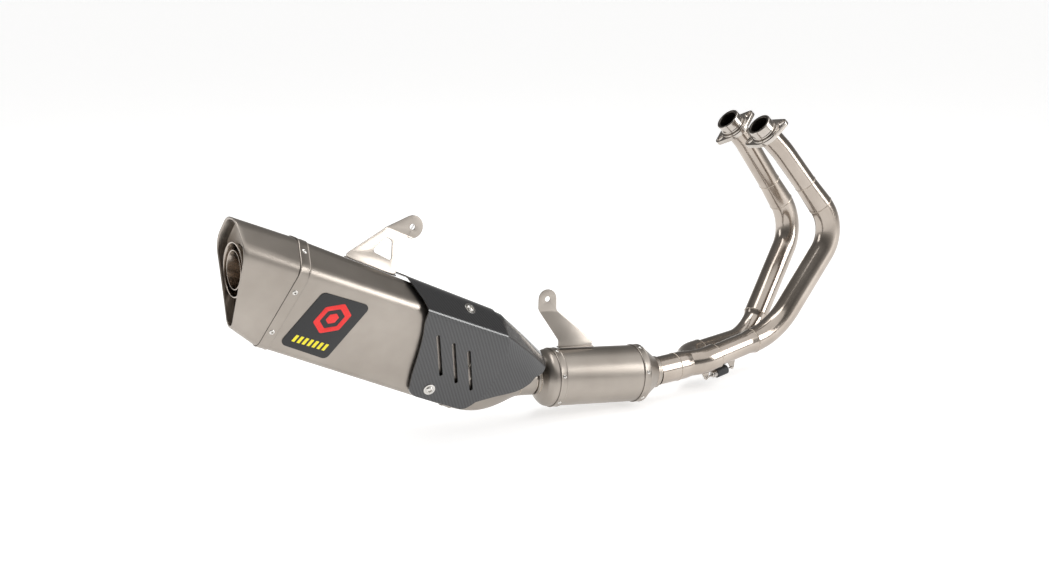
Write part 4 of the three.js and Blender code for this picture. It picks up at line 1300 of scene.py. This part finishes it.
def carved(name, rows_outer, rows_inner, lengths, keep, cutters, node):
    """A carbon skin trimmed to an outline, with holes cut in it."""
    mesh = mesh_of(name, *shell_with_uv(rows_outer, rows_inner, lengths))
    piece = finished(name, mesh, MUFFLER, CARBON, None, sharp=24)
    for cutter, kind in [(keep, "INTERSECT"), *[(c, "DIFFERENCE") for c in cutters]]:
        change = piece.modifiers.new("cut", "BOOLEAN")
        change.object = cutter
        change.operation = kind
        change.solver = "EXACT"
    bpy.context.view_layer.update()
    result = bpy.data.meshes.new_from_object(piece.evaluated_get(bpy.context.evaluated_depsgraph_get()))
    bpy.data.objects.remove(piece)
    for cutter in (keep, *cutters):
        bpy.data.objects.remove(cutter)
    work = bmesh.new()
    work.from_mesh(result)
    bmesh.ops.remove_doubles(work, verts=work.verts, dist=0.00002)
    work.to_mesh(result)
    work.free()
    return finished(name, result, MUFFLER, CARBON, "muffler", [node], "carbon", 24)


def slot_line(z, y, run=-38, drop=50, width=5.0, steps=8):
    """A slot with round ends, in (z, y)."""
    a, b = Vector((z, y)), Vector((z + run, y - drop))
    d = (b - a).normalized()
    side = Vector((-d.y, d.x))
    loop = []
    for centre, sign in ((a, 1), (b, -1)):
        for k in range(steps + 1):
            angle = math.pi * k / steps
            loop.append(centre + (side * sign * math.cos(angle) - d * sign * math.sin(angle)) * width / 2)
    return loop


def screw_cutter(name, place, radius=4.0):
    mesh = mesh_of(name, *rod([Vector((0, 0, z)) for z in (1, 6, 12)], radius, 32))
    holder = bpy.data.objects.new(name, mesh)
    bpy.context.scene.collection.objects.link(holder)
    holder.matrix_world = place
    return holder


SLOT_TOPS = ((91, 5), (62, 1), (33, -3))  # (z, y)
SCREWS = {"lower": face_frame(FLANK_UP, -68, 56), "upper": face_frame(ROOF_UP, 49.5, 51)}


def build_shield():
    z_steps = [-45 + 220 * i / 55 for i in range(56)]
    outer = [ring3(section(SHIELD_OUTER, section_at(z), CREASED, 12, 16)[0], z) for z in z_steps]
    inner = [ring3(section(SHIELD_INNER, section_at(z), CREASED, 12, 16)[0], z) for z in z_steps]
    outline = [*smooth_line(REAR_EDGE), *smooth_line(CORNER), *smooth_line(FRONT_EDGE)]
    cutters = [
        box_cutter("far", (-100, -200, -100), (0, 40, 300)),
        box_cutter("edge", (-140, 20, -100), (SHIELD_FAR_EDGE, 120, 300))
    ]
    cutters += [prism(f"slot_{i}", slot_line(z, y), 15, 90) for i, (z, y) in enumerate(SLOT_TOPS)]
    cutters += [screw_cutter("hole_" + label, place) for label, place in SCREWS.items()]
    carved(
        "shield_main_skin", outer, inner, z_steps, prism("keep_main", outline, -60, 90), cutters,
        "heat_shield_main"
    )

    def cone_rows(distance, r):
        first = [ring3(section(distance, section_at(z), CREASED)[0], z) for z in (16, 9, 2, -5)]
        return [*first, *funnel_rows(distance, r, -12, CONE_TIP_AT, CREASED, 36, 0.01)]

    lengths = [16, 9, 2, -5, *[-12 - 106 * i / 36 for i in range(37)]]
    front = [(z + 5, y) for z, y in reversed(smooth_line(FRONT_EDGE))]
    tip = smooth_line(TIP_EDGE)
    trim = [
        box_cutter("far_cone", (-100, -200, -200), (0, 0, 100)),
        box_cutter("edge_cone", (-140, -100, -200), (-20, 120, 100))
    ]
    carved(
        "shield_cone_skin", cone_rows(CONE_OUTER, CONE_TIP_R), cone_rows(CONE_INNER, CONE_TIP_R - 2), lengths,
        prism("keep_cone", [*front, *tip], -60, 90), trim, "heat_shield_cone"
    )

    for label, place in SCREWS.items():
        top = SHIELD_OUTER + 0.1
        washer = fillet([(3.2, top), (8.5, top), (8.5, top + 0.9), (3.2, top + 0.9)], 0.3, 3)
        dome = [
            (5.4 * math.cos(a), top + 0.9 + 0.4 + 2.6 * math.sin(a))
            for a in (math.radians(8 * i) for i in range(8))
        ]
        head = [
            (3.0, top + 0.9), (5.4, top + 0.9), *dome, (2.6, top + 3.6), (2.4, top + 3.2), (2.2, top + 1.6),
            (0.01, top + 1.4), (0.01, 1.3), (2.8, 1.3), (2.8, top + 0.5)
        ]
        parts = merged([lathe(washer, 48), lathe(head, 36)])
        solid(
            "shield_" + label + "_bolt", parts, place, BRIGHT, "muffler", ["heat_shield_" + label + "_screw"],
            "fastener"
        )
        spacer = fillet(
            [(3.7, GAP), (6.5, GAP), (6.5, SHIELD_INNER - GAP), (3.7, SHIELD_INNER - GAP)], 0.4, 3
        )
        solid(
            "shield_" + label + "_pad", lathe(spacer, 32), place, RUBBER, "muffler",
            ["heat_shield_" + label + "_spacer"], "rubber"
        )


build_shield()

# ---------------------------------------------------------------- CAD nodes that stay
for node, material in (
    ("resonator_core", STAINLESS),
    ("resonator_packing", WOOL),
    ("muffler_packing", WOOL),
):
    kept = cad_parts[node]
    kept.data.materials.clear()
    kept.data.materials.append(material)


# ---------------------------------------------------------------- studio
def stage_plane(name, corners, material):
    mesh = bpy.data.meshes.new(name)
    mesh.from_pydata(corners, [], [tuple(range(len(corners)))])
    mesh.materials.append(material)
    plane = bpy.data.objects.new(name, mesh)
    bpy.context.scene.collection.objects.link(plane)
    return plane


def build_studio():
    low_z = CAD_LOW.z - 0.004
    paper, tree, shader = node_tree("paper")
    tone = noise(tree, 3.0, 2)
    tree.links.new(ramp(tree, tone, (0.86, 0.86, 0.86), (0.88, 0.88, 0.88)), shader.inputs["Base Color"])
    shader.inputs["Roughness"].default_value = 0.6
    shader.inputs["Specular IOR Level"].default_value = 0.3
    shader.inputs["Emission Color"].default_value = (1, 1, 1, 1)
    shader.inputs["Emission Strength"].default_value = 0.55
    stage_plane("floor", [(-60, -60, low_z), (60, -60, low_z), (60, 60, low_z), (-60, 60, low_z)], paper)

    world = bpy.data.worlds.new("studio")
    bpy.context.scene.world = world
    world.use_nodes = True
    tree = world.node_tree
    background = next(n for n in tree.nodes if n.type == "BACKGROUND")
    where = tree.nodes.new("ShaderNodeTexCoord")
    split = tree.nodes.new("ShaderNodeSeparateXYZ")
    tree.links.new(where.outputs["Generated"], split.inputs["Vector"])
    sky = tree.nodes.new("ShaderNodeValToRGB")
    stops = ((0.0, 0.55), (0.06, 0.50), (0.16, 0.30), (0.40, 0.16), (1.0, 0.30))
    while len(sky.color_ramp.elements) < len(stops):
        sky.color_ramp.elements.new(0.5)
    for element, (at, value) in zip(sky.color_ramp.elements, stops):
        element.position = at
        element.color = (value, value * 0.99, value * 0.97, 1)
    tree.links.new(split.outputs["Z"], sky.inputs["Fac"])
    tree.links.new(sky.outputs["Color"], background.inputs["Color"])
    background.inputs["Strength"].default_value = 1.0

    def softbox(name, location, target, size, power):
        light = bpy.data.lights.new(name, "AREA")
        light.shape = "RECTANGLE"
        light.size, light.size_y = size
        light.energy = power
        lamp = bpy.data.objects.new(name, light)
        lamp.location = location
        lamp.rotation_mode = "QUATERNION"
        lamp.rotation_quaternion = (Vector(target) - Vector(location)).to_track_quat("-Z", "Y")
        bpy.context.scene.collection.objects.link(lamp)

    sun = bpy.data.lights.new("sky", "SUN")
    sun.energy = 0.90
    sun.angle = math.radians(70)
    lamp = bpy.data.objects.new("sky", sun)
    lamp.rotation_mode = "QUATERNION"
    lamp.rotation_quaternion = Vector((-0.25, 0.35, -1)).to_track_quat("-Z", "Y")
    bpy.context.scene.collection.objects.link(lamp)

    middle = (-0.35, -0.05, -0.25)
    softbox("key", (1.9, -2.0, 0.8), middle, (0.9, 1.5), 34)
    softbox("top", (-0.6, 0.2, 2.4), middle, (2.6, 0.8), 22)
    softbox("rear", (-2.8, 1.4, 0.9), middle, (1.0, 1.4), 10)


build_studio()


CAMERA_PLACE = (-1.3079, -1.878, 0.252)  # metres
CAMERA_ANGLES = (-26, 13)  # azimuth and elevation
LENS = 48.05


def build_camera():
    azimuth, elevation = (math.radians(angle) for angle in CAMERA_ANGLES)
    back = Vector(
        (
            math.sin(azimuth) * math.cos(elevation), -math.cos(azimuth) * math.cos(elevation),
            math.sin(elevation)
        )
    )
    data = bpy.data.cameras.new("camera")
    data.sensor_width = 36
    data.lens = LENS
    data.clip_start, data.clip_end = 0.05, 50
    camera = bpy.data.objects.new("camera", data)
    camera.location = CAMERA_PLACE
    camera.rotation_mode = "QUATERNION"
    camera.rotation_quaternion = (-back).to_track_quat("-Z", "Y")
    bpy.context.scene.collection.objects.link(camera)
    bpy.context.scene.camera = camera


build_camera()
bpy.context.scene.view_settings.view_transform = "Standard"
bpy.context.scene.view_settings.look = "None"
